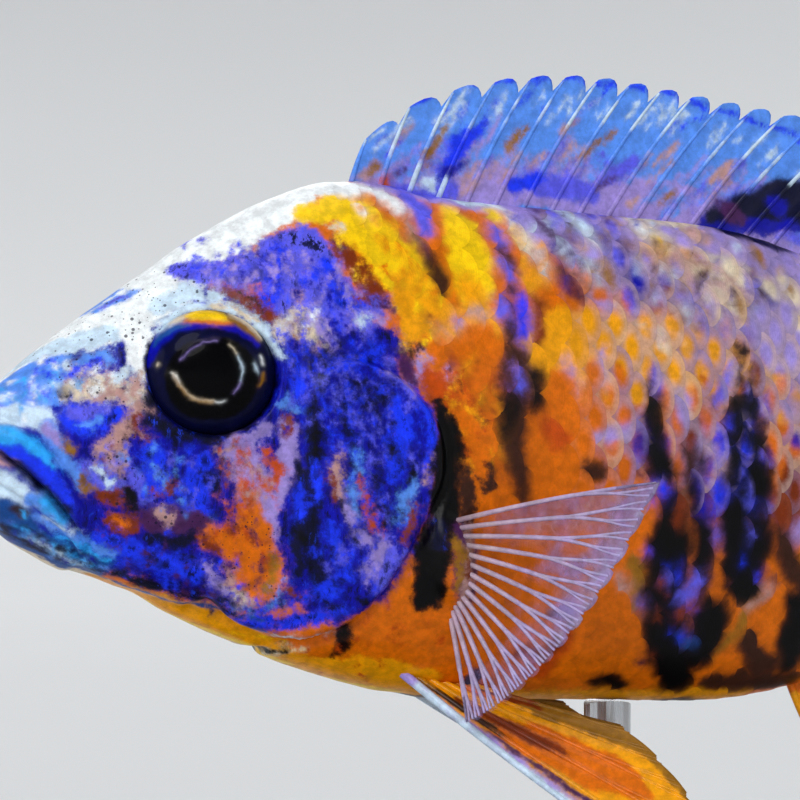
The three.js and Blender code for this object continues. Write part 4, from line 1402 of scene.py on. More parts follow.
def pectoral_fin(side):
    p = PECTORAL
    pose = p["left"] if side < 0 else p["right"]
    level, rise, square = fan_frame(side, pose["out"], p["lean"])
    t = np.linspace(0, 1, p["rays"])
    angle = np.radians(pose["highest"] + (pose["lowest"] - pose["highest"]) * t ** p["fanning"])
    up = p["root_up"] - p["root_height"] * t
    along = p["along"] + (p["along_low"] - p["along"]) * t
    roots = np.stack([along, side * (breadth_at(along, up) - ROOT_SINK), up], 1)
    length = p["shortest"] + (p["longest"] - p["shortest"]) * (1 - t) ** p["shortening"] + ROOT_SINK
    way = level * np.cos(angle)[:, None] + rise * np.sin(angle)[:, None]
    bows = (rise * p["bow_up"] + square * side * p["bow_out"]) * length[:, None]
    return Fin(roots, roots + way * length[:, None], bows, square)


def pelvic_fin(side):
    p = PELVIC
    pose = p["left"] if side < 0 else p["right"]
    level, rise, square = fan_frame(side, pose["splay"], p["roll"])
    shares = np.array(p["lengths"], float)
    t = np.linspace(0, 1, len(shares))
    along = p["along"] + p["root_length"] * t
    across = p["across"] + (p["across_last"] - p["across"]) * t
    s = section_at(along)
    up = s["level"] - (s["level"] - s["bottom"]) * (1 - (across / s["half"]) ** s["keel"]) ** (1 / s["keel"])
    roots = np.stack([along, side * across, up + ROOT_SINK], 1)
    angle = np.radians(pose["steepest"] + (pose["shallowest"] - pose["steepest"]) * t)
    way = level * np.cos(angle)[:, None] + rise * np.sin(angle)[:, None]
    tips = roots + way * (p["longest"] * shares + ROOT_SINK)[:, None]
    return Fin(roots, tips, rise * (p["sag"] * p["longest"] * shares)[:, None], square)


# Webs: steps between two rays, steps from root to edge, half the thickness, and how far they billow. Behind
# each ray the edge bulges a little, dips, and climbs to the tip of the next one.
WEB = {"steps": (0, 0.12, 0.28, 0.45, 0.62, 0.77, 0.88, 0.95), "rows": 34, "half": 0.11, "edge_half": 0.04,
       "billow": 0.16, "lobe": 0.3, "dip_at": 0.88}


def make_web(name, fin, material, notches, node, paint):
    """The thin skin between a fin's rays."""
    rows = WEB["rows"]
    gaps = len(fin.roots) - 1
    number = np.append((np.arange(gaps)[:, None] + WEB["steps"]).ravel(), gaps)
    u = number - np.floor(number)
    part = u / WEB["dip_at"]
    bulge = np.where(part < 1, WEB["lobe"] * np.sin(math.pi * np.clip(part, 0, 1)) - part ** 2.6,
                     -(1 - u) / (1 - WEB["dip_at"]))
    top = 1 + np.interp(number, np.arange(gaps + 1), notches) * bulge / np.interp(
        number, np.arange(gaps + 1), fin.lengths)
    v = np.linspace(0, 1, rows + 1)
    share = top[:, None] * v[None, :]
    grid_number = np.repeat(number[:, None], rows + 1, 1)
    points = fin.at(grid_number, share)
    swell = WEB["billow"] * np.sin(math.pi * u)[:, None] * np.sin(math.pi * v ** 0.8)[None, :]
    swell = swell * np.where(np.floor(number) % 2 < 1, 1, 0.7)[:, None]
    half = WEB["half"] + (WEB["edge_half"] - WEB["half"]) * v[None, :] ** 1.5
    sheets = [points + fin.across * (swell + sign * half)[..., None] for sign in (1, -1)]
    count = len(number) * (rows + 1)
    at = np.arange(count).reshape(-1, rows + 1)
    a, b, c, d = at[:-1, :-1], at[1:, :-1], at[1:, 1:], at[:-1, 1:]
    front = np.stack([a, b, c, d], 2).reshape(-1, 4)
    back = np.stack([a, d, c, b], 2).reshape(-1, 4) + count
    rim = np.concatenate([at[:, 0], at[-1, 1:], at[-2::-1, -1], at[0, -2:0:-1]])
    after = np.roll(rim, -1)
    edge = np.stack([rim, rim + count, after + count, after], 1)
    faces = np.vstack([front, back, edge])
    moved = np.vstack([sheet.reshape(-1, 3) for sheet in sheets])
    if signed_volume(moved, faces) < 0:
        faces = faces[:, ::-1]
    piece = mesh_piece(name, moved, faces.tolist(), material)
    fields, masks = paint(grid_number.ravel(), share.ravel(), points.reshape(-1, 3))
    keep_paint(piece.data, np.vstack([fields, fields]), [np.tile(mask, 2) for mask in masks])
    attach(piece, "root")
    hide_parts(node)


def signed_volume(points, quads):
    a, b, c, d = (points[quads[:, i]] for i in range(4))
    return (np.einsum("ij,ij->i", a, np.cross(b, c)) + np.einsum("ij,ij->i", a, np.cross(c, d))).sum() / 6


# How the rays branch: how far the two halves spread and the four quarters, as shares of a ray's spread, and
# how much thinner the stem, the halves and the quarters are, as shares of a ray's taper.
SPINE_THICKER = 1.25
SPREAD = {"halves": 0.62, "quarters": 0.26}
THINNER = {"spine": 0.62, "stem": 0.7, "halves": 0.68, "quarters": 1.08}


def ray_lines(count, spines, thick, branching, fork, taper):
    """Lines of the rays: points, radii and how far along each point lies. Spines are single, soft rays
    branch at a fork and once more half-way from there to the tip."""
    lines = []
    again = (fork + 1) / 2
    for ray in range(count):
        if ray < spines:
            share = np.linspace(0, 0.975, 19)
            radius = thick * SPINE_THICKER * (1 - THINNER["spine"] * share ** 1.4)
            lines.append((share * 0 + ray, share, radius))
            continue
        share = np.linspace(0, fork + 0.02, 12)
        lines.append((share * 0 + ray, share, thick * (1 - THINNER["stem"] * taper * share)))
        for first in (-1, 1):
            share = np.linspace(fork, again + 0.01, 7)
            spread = first * branching * smooth(fork - 0.02, 0.95, share) * SPREAD["halves"]
            lines.append((ray + spread, share,
                          thick * (1 - THINNER["halves"] * taper) * (1 - 0.3 * (share - fork))))
            for second in (-1, 1):
                share = np.linspace(again, 0.985, 7)
                inner = first * branching * smooth(fork - 0.02, 0.95, share) * SPREAD["halves"]
                spread = inner + second * branching * SPREAD["quarters"] * smooth(again - 0.02, 1.0, share)
                lines.append((ray + spread, share,
                              thick * (1 - THINNER["quarters"] * taper) * (1 - 1.2 * (share - again))))
    return lines


def ray_tree():
    """Geometry Nodes that sweep a round section along each line, as thick as its points say."""
    g = Growth("fin_rays", {"Geometry": "Geometry", "Sides": "Int", "Material": "Material"})
    curves = g.add("GeometryNodeMeshToCurve", Mesh=g.given["Geometry"])
    section = g.add("GeometryNodeCurvePrimitiveCircle", Resolution=g.given["Sides"], Radius=1.0)
    return g.finished(g.add("GeometryNodeCurveToMesh", Curve=curves, Profile_Curve=section,
                            Scale=g.named("thick"), Fill_Caps=True))


def grown(piece, tree, values):
    """Turns a piece into what a node tree makes of it, as one plain and smooth mesh."""
    modifier = piece.modifiers.new("grow", "NODES")
    modifier.node_group = tree
    for item in tree.interface.items_tree:
        if item.item_type == "SOCKET" and item.in_out == "INPUT" and item.name in values:
            modifier[item.identifier] = values[item.name]
    graph = bpy.context.evaluated_depsgraph_get()
    result = bpy.data.meshes.new_from_object(piece.evaluated_get(graph), preserve_all_data_layers=True,
                                             depsgraph=graph)
    result.shade_smooth()
    piece.modifiers.clear()
    piece.data = result


RAY_TREE = ray_tree()


def make_rays(name, fin, material, node, paint, spines, thick, branching, fork=0.5, taper=0.5):
    lines = ray_lines(len(fin.roots), spines, thick, branching, fork, taper)
    number, share, radius = (np.concatenate(rows) for rows in zip(*lines))
    points = fin.at(number, share)
    edges, first = [], 0
    for line in lines:
        edges += [(i, i + 1) for i in range(first, first + len(line[0]) - 1)]
        first += len(line[0])
    piece = plain_piece(name, to_world(points).tolist(), edges)
    keep(piece.data, "thick", radius * MM)
    keep_paint(piece.data, *paint(number, share, points))
    grown(piece, RAY_TREE, {"Sides": 6, "Material": material})
    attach(piece, "root")
    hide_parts(node)


# Paint of the fins. Each painter takes places on a fin and gives their colour fields and up to three masks.
def dorsal_marks():
    marks = read_marks(DORSAL_MARKS, np.random.default_rng(71), SPINE_LEANS, STREAK_STRETCH)
    return photo_marks(marks, lambda along, up: 0 * along)


DORSAL_PAINT = dorsal_marks()


PLAN = {"ray": 2.0, "length": 20.0}
MARGIN_FROM, MARGIN_TO = -3, 60


def flecks(seed, colours, rays, first, last, rows, size):
    """Spots between the rays, in rows from root to edge, in the fin's own plan: ray number by share."""
    draw = np.random.default_rng(seed)
    made = []
    for ray in np.arange(first, rays - 1 + 0.01):
        for row in range(rows):
            share = (row + 0.5 + draw.uniform(-0.3, 0.3)) / rows * last
            length = size * draw.uniform(0.5, 1.1)
            colour = colours[int(draw.integers(len(colours)))]
            if draw.uniform() < 0.8:
                x = (ray + 0.5 + draw.uniform(-0.08, 0.08)) * PLAN["ray"]
                y = share * PLAN["length"]
                made.append(brush(colour, (length * 0.5, length * 0.4), [(x, y - length), (x, y + length)]))
    return made


def plan_spots(number, share, seed):
    spots = np.stack([number * PLAN["ray"], share * PLAN["length"]], 1)
    return spots + astray(spots, 0.9, 0.2, 0.3, seed)


def margin(colour, share_from, share_to):
    """A band across all rays of a fin, from one share of their length to another."""
    middle = (share_from + share_to) / 2 * PLAN["length"]
    half = (share_to - share_from) / 2 * PLAN["length"]
    return brush(colour, half, [(MARGIN_FROM, middle), (MARGIN_TO, middle)])


def fin_masks(share, fray=0.4, solid=1.0):
    """The masks of a fin: how frayed the paint is, how dotted it is, and how solid the web."""
    return [share * 0 + fray, 0.12 + 0.2 * share, share * 0 + solid]


def dorsal_paint(number, share, points):
    spots = points[:, [0, 2]]
    fields = painted(spots + astray(spots, 1.1, 0.3, 0.3, 31), DORSAL_PAINT, "sky")
    rear = smooth(74, 80, points[:, 0] + 1.5 * cloud(spots, 2.0, 34))[:, None]
    plan = painted(plan_spots(number, share, 33), DORSAL_REAR, "sky")
    return plan * rear + fields * (1 - rear), fin_masks(share, 0.6)


RAY_PALENESS = 1.2


def pale_rays(paint):
    """A fin's painter with more pale blue, for its rays."""
    def lighter(number, share, points):
        fields, masks = paint(number, share, points)
        fields[:, NUMBER_OF["frost"]] += RAY_PALENESS
        return fields, masks
    return lighter


# Marks in a fin's own plan: two to a ray, and twenty from root to tip.
DORSAL_REAR = [margin("lilac", -0.05, 0.16), margin("azure", 0.975, 1.1)]
DORSAL_REAR += flecks(41, ("ochre", "tan", "amber"), 26, 13, 0.82, 6, 0.75)
DORSAL_REAR += read_marks("""
navy 2.2 2.6: 31,2.5 35,4
violet 2: 42,2 46,8
""")

TAIL_MARKS = [margin("violet", -0.05, 0.14), margin("azure", 0.955, 1.1)]
TAIL_MARKS += flecks(42, ("amber", "orange", "amber", "yellow"), 16, 0, 0.86, 6, 0.95)
TAIL_MARKS += read_marks("""
navy 1.6 2.2 1.4: 6,3 9,6.5 12,9
amber 1: 0,4 0.6,16
amber 1: 30,4 29.4,16
""")

ANAL_MARKS = [margin("lilac", 0.88, 1.1), margin("orange", -0.05, 0.2)]
ANAL_MARKS += read_marks("""
yellow 0.95: 9.5,9
yellow 0.95: 12.4,8
yellow 0.95: 13.4,11.4
yellow 0.95: 15.6,9.6
yellow 0.95: 17.4,12.2
yellow 0.95: 10.8,12.6
violet 0.6 0.9: 4.5,13 5,17
brown 1 1.4: 2,3 4.4,5
violet 0.5 0.8: 19,5 20.6,10
""")

PELVIC_MARKS = read_marks("""
orange 1.6 2.2 1.4: 3,6 4.6,10 5.4,15
rust 0.5 0.9 0.5: 3.4,3 4.2,7 4.8,10
orange 0.8 1: 7,2 9,6
ochre 1.2 2.2: 9.2,7 9.8,19
rust 0.5 0.8 0.5: 8.8,3 9.4,6 9.6,10
lilac 0.9 0.7: 0,-1 0,21
frost 0.3: 0,2 0,21
brown 0.5 0.7: 1.6,1 2.2,5
plum 0.3 0.5: 1.2,6 1.4,16
""") + [margin("ochre", 0.95, 1.1)]


def tail_paint(number, share, points):
    return painted(plan_spots(number, share, 43), TAIL_MARKS, "sky"), fin_masks(share)


def anal_paint(number, share, points):
    return painted(plan_spots(number, share, 44), ANAL_MARKS, "amber"), fin_masks(share)


def pelvic_paint(number, share, points):
    return painted(plan_spots(number, share, 45), PELVIC_MARKS, "amber"), fin_masks(share, 0.8)


# The breast fin: a clear web that thickens towards its edge and its upper rays, and pale rays. Its colours
# run into one another, so they are given as shares that change from root to edge.
def mixture(count, shares):
    fields = np.full((count, len(COLOURS)), -FIELD_LIMIT)
    for colour, share in shares.items():
        fields[:, NUMBER_OF[colour]] = share
    return fields


def pectoral_web_paint(number, share, points):
    upper = smooth(3.6, 0.6, number) * smooth(0.1, 0.5, share)
    patch = 0.16 * cloud(plan_spots(number, share, 46), 1.6, 48)
    edge = smooth(0.5, 0.98, share + patch) * (0.3 + 0.7 * smooth(8, 3, number))
    solid = np.maximum(edge, 0.6 * upper) + 0.8 * smooth(0.18, 0.04, share)
    colours = {"lilac": 0.3 * share + patch, "plum": 0.34 - 0.2 * share + 0.1 * upper, "tan": 0.1 - patch,
               "frost": -0.35 + 0.45 * smooth(0.8, 1.0, share) + patch}
    return mixture(len(share), colours), fin_masks(share, 0.45, np.clip(solid, 0, 1))


def pectoral_ray_paint(number, share, points):
    root = smooth(0.26, 0.08, share)
    colours = {"tan": 0.2 - 0.2 * share, "cream": 0.06 - 0.14 * share, "lilac": 0.3 * share,
               "frost": -0.4 + 0.42 * share, "brown": -0.5 + 0.8 * root, "plum": -0.2 + 0.4 * root}
    return mixture(len(share), colours), fin_masks(share, 0.2)


# Eyes: a dome with a ring round the pupil, painted in its own plane, millimetres to the rear and up.
# The white and pale blue specks at the eye's rear edge are painted highlights.
EYE_MARKS = """
navy 6: 0,0 0.1,0
deep 0.3 0.6 0.6 0.5 0.3 0.3 0.2: -5,0.9 -4.4,2.7 -3,3.8 -1.1,4 0.8,4 2.4,3.7 4,2.4
sea 0.1 0.26 0.3 0.1: -4.5,2.4 -3.9,3.2 -3,3.8 -1.6,4.1
navy 0.2 0.5 0.5 0.4: -3.6,2 -2.4,3 0.4,3.4 3.2,2.4
black 3.3 3.4: -0.4,-0.4 0.6,-0.3
frost 0.1 0.34 0.36 0.2: -4.4,3.3 -3.4,4.2 -2.6,4.7 -2,5
cream 0.1 0.26 0.16: -3.2,4.1 -2.4,4.5 -1.9,4.8
orange 0.1 0.3 0.36 0.36 0.14: -2,4.35 -1.1,4.5 -0.1,4.5 0.9,4.4 1.8,4.2
yellow 0.2 0.42 0.44 0.36 0.16: -1.8,4.7 -0.9,4.9 0.1,4.86 1.1,4.7 1.7,4.5
ochre 0.2 0.36 0.3 0.14: 1.7,4.6 2.6,4.2 3.4,3.6 4,2.9
cream 0.14 0.26 0.24 0.1: 1.8,4.9 2.8,4.5 3.7,3.8 4.3,2.9
cream 0.05 0.08: -4.25,0.7 -4.15,0.85
white 0.05 0.1 0.06: 4.2,1.5 4.32,1.2 4.4,0.8
frost 0.06 0.1 0.05: 3.7,0.9 3.78,0.6 3.95,0.2
ochre 0.08 0.14 0.06: 4.4,0.1 4.4,-0.4 4.1,-0.9
lilac 0 0.01 0.02 0: -2.4,1.2 -1.6,2.1 -0.5,2.68 0.6,2.8
ochre 0.02 0.07 0.06 0.06 0.04 0.02: -3.04,0.04 -2.54,-0.8 -1.94,-1.58 -1.34,-1.98 -0.5,-2.18 0.2,-2.24
cream 0 0.03 0.02 0.03 0.02 0: -3,0.1 -2.48,-0.7 -1.88,-1.48 -1.28,-1.88 -0.5,-2.08 0.2,-2.14
white 0.03 0.08 0.02: -3.1,0.14 -2.86,-0.04 -2.6,-0.5
cream 0.01 0.06 0.02: -2,-1.4 -1.6,-1.78 -1.2,-1.96
white 0.01 0.06 0.02: 0.4,-2.2 0.9,-2.24 1.2,-2.14
lilac 0 0.03 0.01: 1.9,-1.5 2.3,-1.1 2.5,-0.6
frost 0.01 0.05 0.08 0.03: 2.48,-0.5 2.66,0.2 2.6,0.8 2.3,1.5
cream 0.03 0.04 0: 2.2,1.7 1.95,2.1 1.6,2.5
black 2.3 2.32: -0.1,0.2 0.06,0.2
black 1.2 0.14: -1.2,0.1 -2.8,0.1
"""
EYE_PAINT = read_marks(EYE_MARKS)
EYE_RINGS = 100
EYE_STEPS = 180
EYE_ROUNDNESS = 2.5
PUPIL = {"radius": 2.32, "up": 0.2, "swell": 0.14, "ring": 0.06}


def make_eye(side, name, node, material):
    across = side * (float(breadth_at(EYE["along"], EYE["up"])) - EYE["sunk"])
    reach = np.sin(np.linspace(0, math.pi / 2, EYE_RINGS + 1)[1:]) ** 0.9
    turn = np.linspace(0, 2 * math.pi, EYE_STEPS, endpoint=False)
    plan_x = reach[:, None] * np.cos(turn)[None, :] * EYE["length"]
    plan_z = reach[:, None] * np.sin(turn)[None, :] * EYE["height"]
    shape = (1 - reach ** EYE_ROUNDNESS) ** (1 / EYE_ROUNDNESS) * EYE["depth"]
    dome = np.repeat(shape[:, None], EYE_STEPS, 1)
    from_pupil = np.hypot(plan_x, plan_z - PUPIL["up"]) / PUPIL["radius"]
    dome = dome + PUPIL["swell"] * np.clip(1 - from_pupil ** 2, 0, 1) ** 0.6
    dome = dome + PUPIL["ring"] * bell(from_pupil - 1.16, 0.12)
    middle = (0.0, EYE["depth"] + PUPIL["swell"], 0.0)
    local = np.vstack([middle, np.stack([plan_x, dome, plan_z], 2).reshape(-1, 3), (0.0, -1.0, 0.0)])
    lean = math.radians(EYE["forward"])
    cos, sin = math.cos(lean), math.sin(lean)
    along = EYE["along"] + local[:, 0] * cos - local[:, 1] * sin
    out = local[:, 0] * sin + local[:, 1] * cos
    points = np.stack([along, across + side * out, EYE["up"] + local[:, 2]], 1)
    rings = 1 + np.arange(EYE_RINGS * EYE_STEPS).reshape(EYE_RINGS, EYE_STEPS)
    faces = closed_rings(rings, 0, len(points) - 1)
    if side > 0:
        faces = [face[::-1] for face in faces]
    piece = mesh_piece(name, points, faces, material)
    spots = local[:, [0, 2]]
    fields = 1.5 * painted(spots + astray(spots, 0.3, 0.06, 0.06, 51), EYE_PAINT, "navy")
    keep_paint(piece.data, fields, [np.full(len(points), share) for share in (0.14, 0.0, 0.0)])
    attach(piece, "root")
    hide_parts(node)


# Scales. They stand in staggered rows that follow the body: rows are counted from the middle of the flank,
# and places along a row grow closer together towards the tail.
SCALE = {"row": 2.15, "step": 2.6, "length": 4.5, "width": 4.9, "exposed": 0.3, "reach_steps": 24}
SCALE_LIFT = {"root": -0.08, "tip": 0.07, "crown": 0.03, "rim": 0.025, "back": 0.12}
SCALE_STARTS, SCALE_ENDS = 23.0, STANDARD_LENGTH - 0.6
SCALE_STRAY = {"along": 0.12, "height": 0.08, "size": 0.05}
LEAST_COVER = 0.35
ROW_LIMIT = 24
EVEN_RANKS, RANK_LOSS, SMALLEST = 7, 0.06, 0.62
SCALE_RINGS = (0.42, 0.78, 1.0)


def scale_shape():
    """One scale, 2 long and 2 wide, flat. Its lift over the skin and its plan are kept as attributes. The
    underside has a rim of its own, so that the edge stays crisp."""
    steps = SCALE["reach_steps"]
    turn = np.linspace(0, 2 * math.pi, steps, endpoint=False)
    rear = np.cos(turn) > 0
    x = np.sign(np.cos(turn)) * np.abs(np.cos(turn)) ** np.where(rear, 0.9, 0.7)
    y = np.sign(np.sin(turn)) * np.abs(np.sin(turn)) ** np.where(rear, 0.85, 0.75)
    rings = SCALE_RINGS + (1.0,)
    plan = np.vstack([(0.0, 0.0)] + [np.stack([x, y], 1) * ring for ring in rings] + [(0.0, 0.0)])
    reach = np.concatenate([[0], np.repeat(rings, steps), [0]])
    lift = SCALE_LIFT["root"] + (SCALE_LIFT["tip"] - SCALE_LIFT["root"]) * (plan[:, 0] + 1) / 2
    lift += SCALE_LIFT["crown"] * (1 - reach ** 2)
    under = 1 + len(SCALE_RINGS) * steps
    lift[under:-1] -= SCALE_LIFT["rim"]
    lift[-1] -= SCALE_LIFT["back"]
    numbers = 1 + np.arange(len(rings) * steps).reshape(-1, steps)
    faces = closed_rings(numbers[:-1], start=0) + closed_rings(numbers[-1:], end=len(plan) - 1)
    shape = plain_piece("scale_shape", np.column_stack([plan, 0 * reach]).tolist(), faces=faces)
    keep(shape.data, "lift", lift)
    keep(shape.data, "local", np.column_stack([plan, reach]))
    return shape


def rank_size(rank):
    """How large a scale of a row is, counted from the middle of the flank: smaller towards back and belly."""
    return 1.0 if rank < EVEN_RANKS else max(SMALLEST, 1 - RANK_LOSS * (rank - EVEN_RANKS))


def scale_roots(side):
    """Where the scales of one side sit: along, unrolled height and size, from the nape to the tail's root."""
    draw = np.random.default_rng(60 + side)
    girth = chart_rows(np.linspace(0, STANDARD_LENGTH, 200))
    widest = (girth[:, 0] - girth[:, -1]).max()
    places, number = [], 0
    along = SCALE_STARTS
    while along < SCALE_ENDS:
        row = chart_rows(np.array([along]))[0]
        slim = ((row[0] - row[-1]) / widest) ** 0.75 * float(smooth(14, 44, along)) ** 0.5
        for index in range(-ROW_LIMIT, ROW_LIMIT + 1):
            if (index + number) % 2:
                continue
            height = math.copysign(sum(rank_size(rank) for rank in range(abs(index))), index)
            height = height * SCALE["row"] * slim + float(OUTLINE["level"](along))
            if height > row[0] - 0.5 or height < row[-1] + 0.5:
                continue
            up = float(height_to_up(along, height))
            if float(scaled_share(np.array([along]), np.array([up]))[0]) < LEAST_COVER:
                continue
            jitter = draw.uniform(-1, 1, 3)
            size = slim * rank_size(abs(index)) * (1 + SCALE_STRAY["size"] * jitter[2])
            places.append((along + SCALE_STRAY["along"] * jitter[0], height + SCALE_STRAY["height"] * jitter[1],
                           size, draw.uniform()))
        along += SCALE["step"] / 2 * (0.35 + 0.65 * slim)
        number += 1
    return np.array(places)


def chart_turn(along, height):
    """The turn from the back at an unrolled height."""
    rows = chart_rows(along)
    return np.array([np.interp(-h, -row, CHART_TURN) for h, row in zip(height, rows)])


def height_to_up(along, height):
    turn = chart_turn(np.atleast_1d(along), np.atleast_1d(height))
    return ring_point(np.atleast_1d(along), turn)[1][0]


def chart_point(along, height, side):
    """The place on the plain body outline at a place of the unrolled skin."""
    turn = chart_turn(along, height)
    out, up = ring_point(along, turn)
    return np.stack([along, side * out, up], 1)


def scale_tree():
    """Geometry Nodes that set a scale on each root, lay it on the skin and lift it by its own form."""
    g = Growth("scale_rows", {"Geometry": "Geometry", "Scale shape": "Object", "Skin": "Object",
                              "Material": "Material"})
    shape = g.add("GeometryNodeObjectInfo", Object=g.given["Scale shape"]).outputs["Geometry"]
    skin = g.add("GeometryNodeObjectInfo", Object=g.given["Skin"]).outputs["Geometry"]
    put = g.add("GeometryNodeInstanceOnPoints", Points=g.given["Geometry"], Instance=shape,
                Rotation=g.add("FunctionNodeEulerToRotation", i0=g.named("turned", "FLOAT_VECTOR")),
                Scale=g.named("size", "FLOAT_VECTOR"))
    real = g.add("GeometryNodeRealizeInstances", Geometry=put)
    near = g.add("GeometryNodeProximity", {"target_element": "FACES"}, i0=skin).outputs["Position"]
    normal = g.add("GeometryNodeSampleNearestSurface", {"data_type": "FLOAT_VECTOR"}, Mesh=skin,
                   Value=g.add("GeometryNodeInputNormal")).outputs["Value"]
    raised = g.add("ShaderNodeMath", {"operation": "MULTIPLY"}, i0=g.named("lift"), i1=g.named("tall"))
    lifted = g.add("ShaderNodeVectorMath", {"operation": "SCALE"}, i0=normal, Scale=raised)
    placed = g.add("ShaderNodeVectorMath", {"operation": "ADD"}, i0=near, i1=lifted)
    return g.finished(g.add("GeometryNodeSetPosition", Geometry=real, Position=placed))


def read_vectors(mesh, name):
    values = np.empty(len(mesh.vertices) * 3, np.float32)
    mesh.attributes[name].data.foreach_get("vector", values)
    return values.reshape(-1, 3)


# Where a scale reads its paint, how far off its own neighbours are measured, and its place in the UV map, which
# reaches a little past the back and the belly.
SCALE_PULL = 0.85
SCALE_SHIFT = -0.31
BESIDE = 0.4
PATCH = 0.003
UV_MARGIN = 0.02
DEEPEST_ALONG = 50.0
UV_REACH = 1.15


def make_scales(side, name, skin, shape, tree, material):
    roots = scale_roots(side)
    along, height, size, vary = roots.T
    points = chart_point(along, height, side)
    behind = chart_point(along + BESIDE, height, side) - chart_point(along - BESIDE, height, side)
    above = chart_point(along, height + BESIDE, side) - chart_point(along, height - BESIDE, side)
    x = behind / np.linalg.norm(behind, axis=1, keepdims=True)
    z = np.cross(x, above) * -side
    z /= np.linalg.norm(z, axis=1, keepdims=True)
    y = np.cross(z, x)
    middle = points - x * (SCALE["length"] * (0.5 - SCALE["exposed"]) * size)[:, None]
    turned = [Matrix(axes).transposed().to_euler() for axes in np.stack([x, y, z], 1).tolist()]
    half = np.array([SCALE["length"] / 2, SCALE["width"] / 2, 1.0]) * MM
    piece = plain_piece(name, to_world(middle).tolist())
    keep(piece.data, "turned", np.array(turned))
    keep(piece.data, "size", size[:, None] * half)
    keep(piece.data, "root", np.stack([along, height, vary], 1))
    keep(piece.data, "tall", size ** 0.5 * MM)
    grown(piece, tree, {"Scale shape": shape, "Skin": skin, "Material": material})
    mesh = piece.data
    root, local = read_vectors(mesh, "root"), read_vectors(mesh, "local")
    half = read_vectors(mesh, "size")[:, :2] / MM
    spots = root[:, :2] + half * (local[:, :2] * SCALE_PULL + (SCALE_SHIFT, 0))
    fields = body_paint(spots[:, 0], spots[:, 1], np.full(len(spots), side))
    edged = pale_edges(root[:, 0], root[:, 1]) * smooth(0.3, -0.5, deepest(fields, "black", "brown", "navy"))
    keep_paint(mesh, fields, [np.full(len(spots), 0.4), root[:, 2], edged])
    corner = np.empty(len(mesh.loops), np.int32)
    mesh.loops.foreach_get("vertex_index", corner)
    low, high = chart_rows(np.array([DEEPEST_ALONG]))[0][[-1, 0]] * UV_REACH
    place = np.stack([root[:, 0] / STANDARD_LENGTH, (root[:, 1] - low) / (high - low)], 1)
    place = place * (1 - 2 * UV_MARGIN) + UV_MARGIN
    place += local[:, :2] * PATCH / 2
    mesh.uv_layers.new(name="OFBake").data.foreach_set("uv", place[corner].astype(np.float32).ravel())
    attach(piece, "root")


def pale_edges(along, height):
    """Where the scales have lilac edges: the rear of the flank, above its middle."""
    return smooth(50, 55, along) * smooth(-5, 0, height) * (0.55 + 0.45 * smooth(20, 12, height))


def scale_material():
    """Painted scales: soft blotches, a pale edge where the fish has it, painted shade on each scale's front
    where the one before it overlaps, fine growth lines and a wet gloss.
    """
    n = Nodes("wet_scales")
    place = n.object_place()
    masks = n.split(n.attribute("masks"))
    local = n.split(n.attribute("local"))
    colour = blended_paint(n, place, masks[0], SCALE_SHARPNESS)
    mottle = n.mottle(place)
    plan = n.add("ShaderNodeCombineXYZ", X=n.math("MULTIPLY_ADD", local[0], 2.9, -1.4),
                 Y=n.math("MULTIPLY", local[1], 1.7))
    oval = n.add("ShaderNodeVectorMath", {"operation": "LENGTH"}, i0=plan)
    worn = n.math("ADD", oval.outputs["Value"], n.math("MULTIPLY_ADD", mottle, 1.0, -0.5))
    edge = n.math("MULTIPLY", n.ramp(worn, 0.45, 1.25), masks[2])
    veil = n.mixed(masks[1], linear("lilac_edge"), linear("tan_edge"))
    colour = n.mixed(n.math("MULTIPLY", edge, 0.66), colour, veil)
    colour = n.scaled(colour, n.ramp(masks[1], 0.0, 1.0, 0.92, 1.06))
    colour = n.scaled(colour, n.ramp(mottle, 0.3, 0.72, 0.8, 1.14))
    # Painted shade: each scale darker towards its front, under the edge of the scale ahead of it.
    colour = n.scaled(colour, n.ramp(local[0], -0.1, 0.4, 0.86, 1.0))
    n.wet(0.05, 0.14, 0.09)
    growth = n.math("SINE", n.math("MULTIPLY", local[2], 60.0))
    grain = n.noise(place, PER_MM * 2.2, 2.0, 0.6)
    lines = n.math("MULTIPLY_ADD", growth, 0.25, grain)
    return n.finished(colour, n.ramp(mottle, 0.3, 0.7, 0.44, 0.32), lines, 0.4, 0.00003)


# The stand's own solids are shown as they are and painted here.
def stained_wood():
    n = Nodes("stained_wood")
    place = n.object_place()
    drawn = n.vector("MULTIPLY", place, (0.06, 1.0, 1.0))
    bands = n.noise(drawn, 150.0, 4.0, 0.6)
    fibres = n.noise(drawn, 1500.0, 3.0, 0.7)
    colour = n.mixed(n.ramp(bands, 0.3, 0.7), linear("wood"), linear("pale_wood"))
    colour = n.mixed(n.ramp(fibres, 0.52, 0.7, 0.0, 0.7), colour, linear("wood_fibres"))
    n.wet(0.25)
    return n.finished(colour, n.ramp(fibres, 0.3, 0.7, 0.34, 0.5), fibres, 0.35, 0.00006)


def brushed_steel():
    n = Nodes("brushed_steel")
    place = n.object_place()
    lines = n.noise(n.vector("MULTIPLY", place, (1.0, 1.0, 0.03)), 9000.0, 3.0, 0.6)
    smudge = n.noise(place, 220.0, 3.0, 0.6)
    n.dress(Metallic=1.0)
    colour = n.mixed(smudge, linear("steel"), linear("pale_steel"))
    return n.finished(colour, n.ramp(lines, 0.25, 0.75, 0.2, 0.42), lines, 0.25, 0.00003)


def paint_stand():
    steel = brushed_steel()
    for node, material in (("stand_base", stained_wood()), ("stand_rod", steel), ("stand_collar", steel)):
        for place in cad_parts[node].material_slots:
            place.material = material


# The stage: a bowl of pale floor that turns up into the backdrop, with the camera and the lights inside it.
STAGE = {"flat": 1.1, "radius": 2.6, "height": 2.4, "steps": 96, "bends": 12}


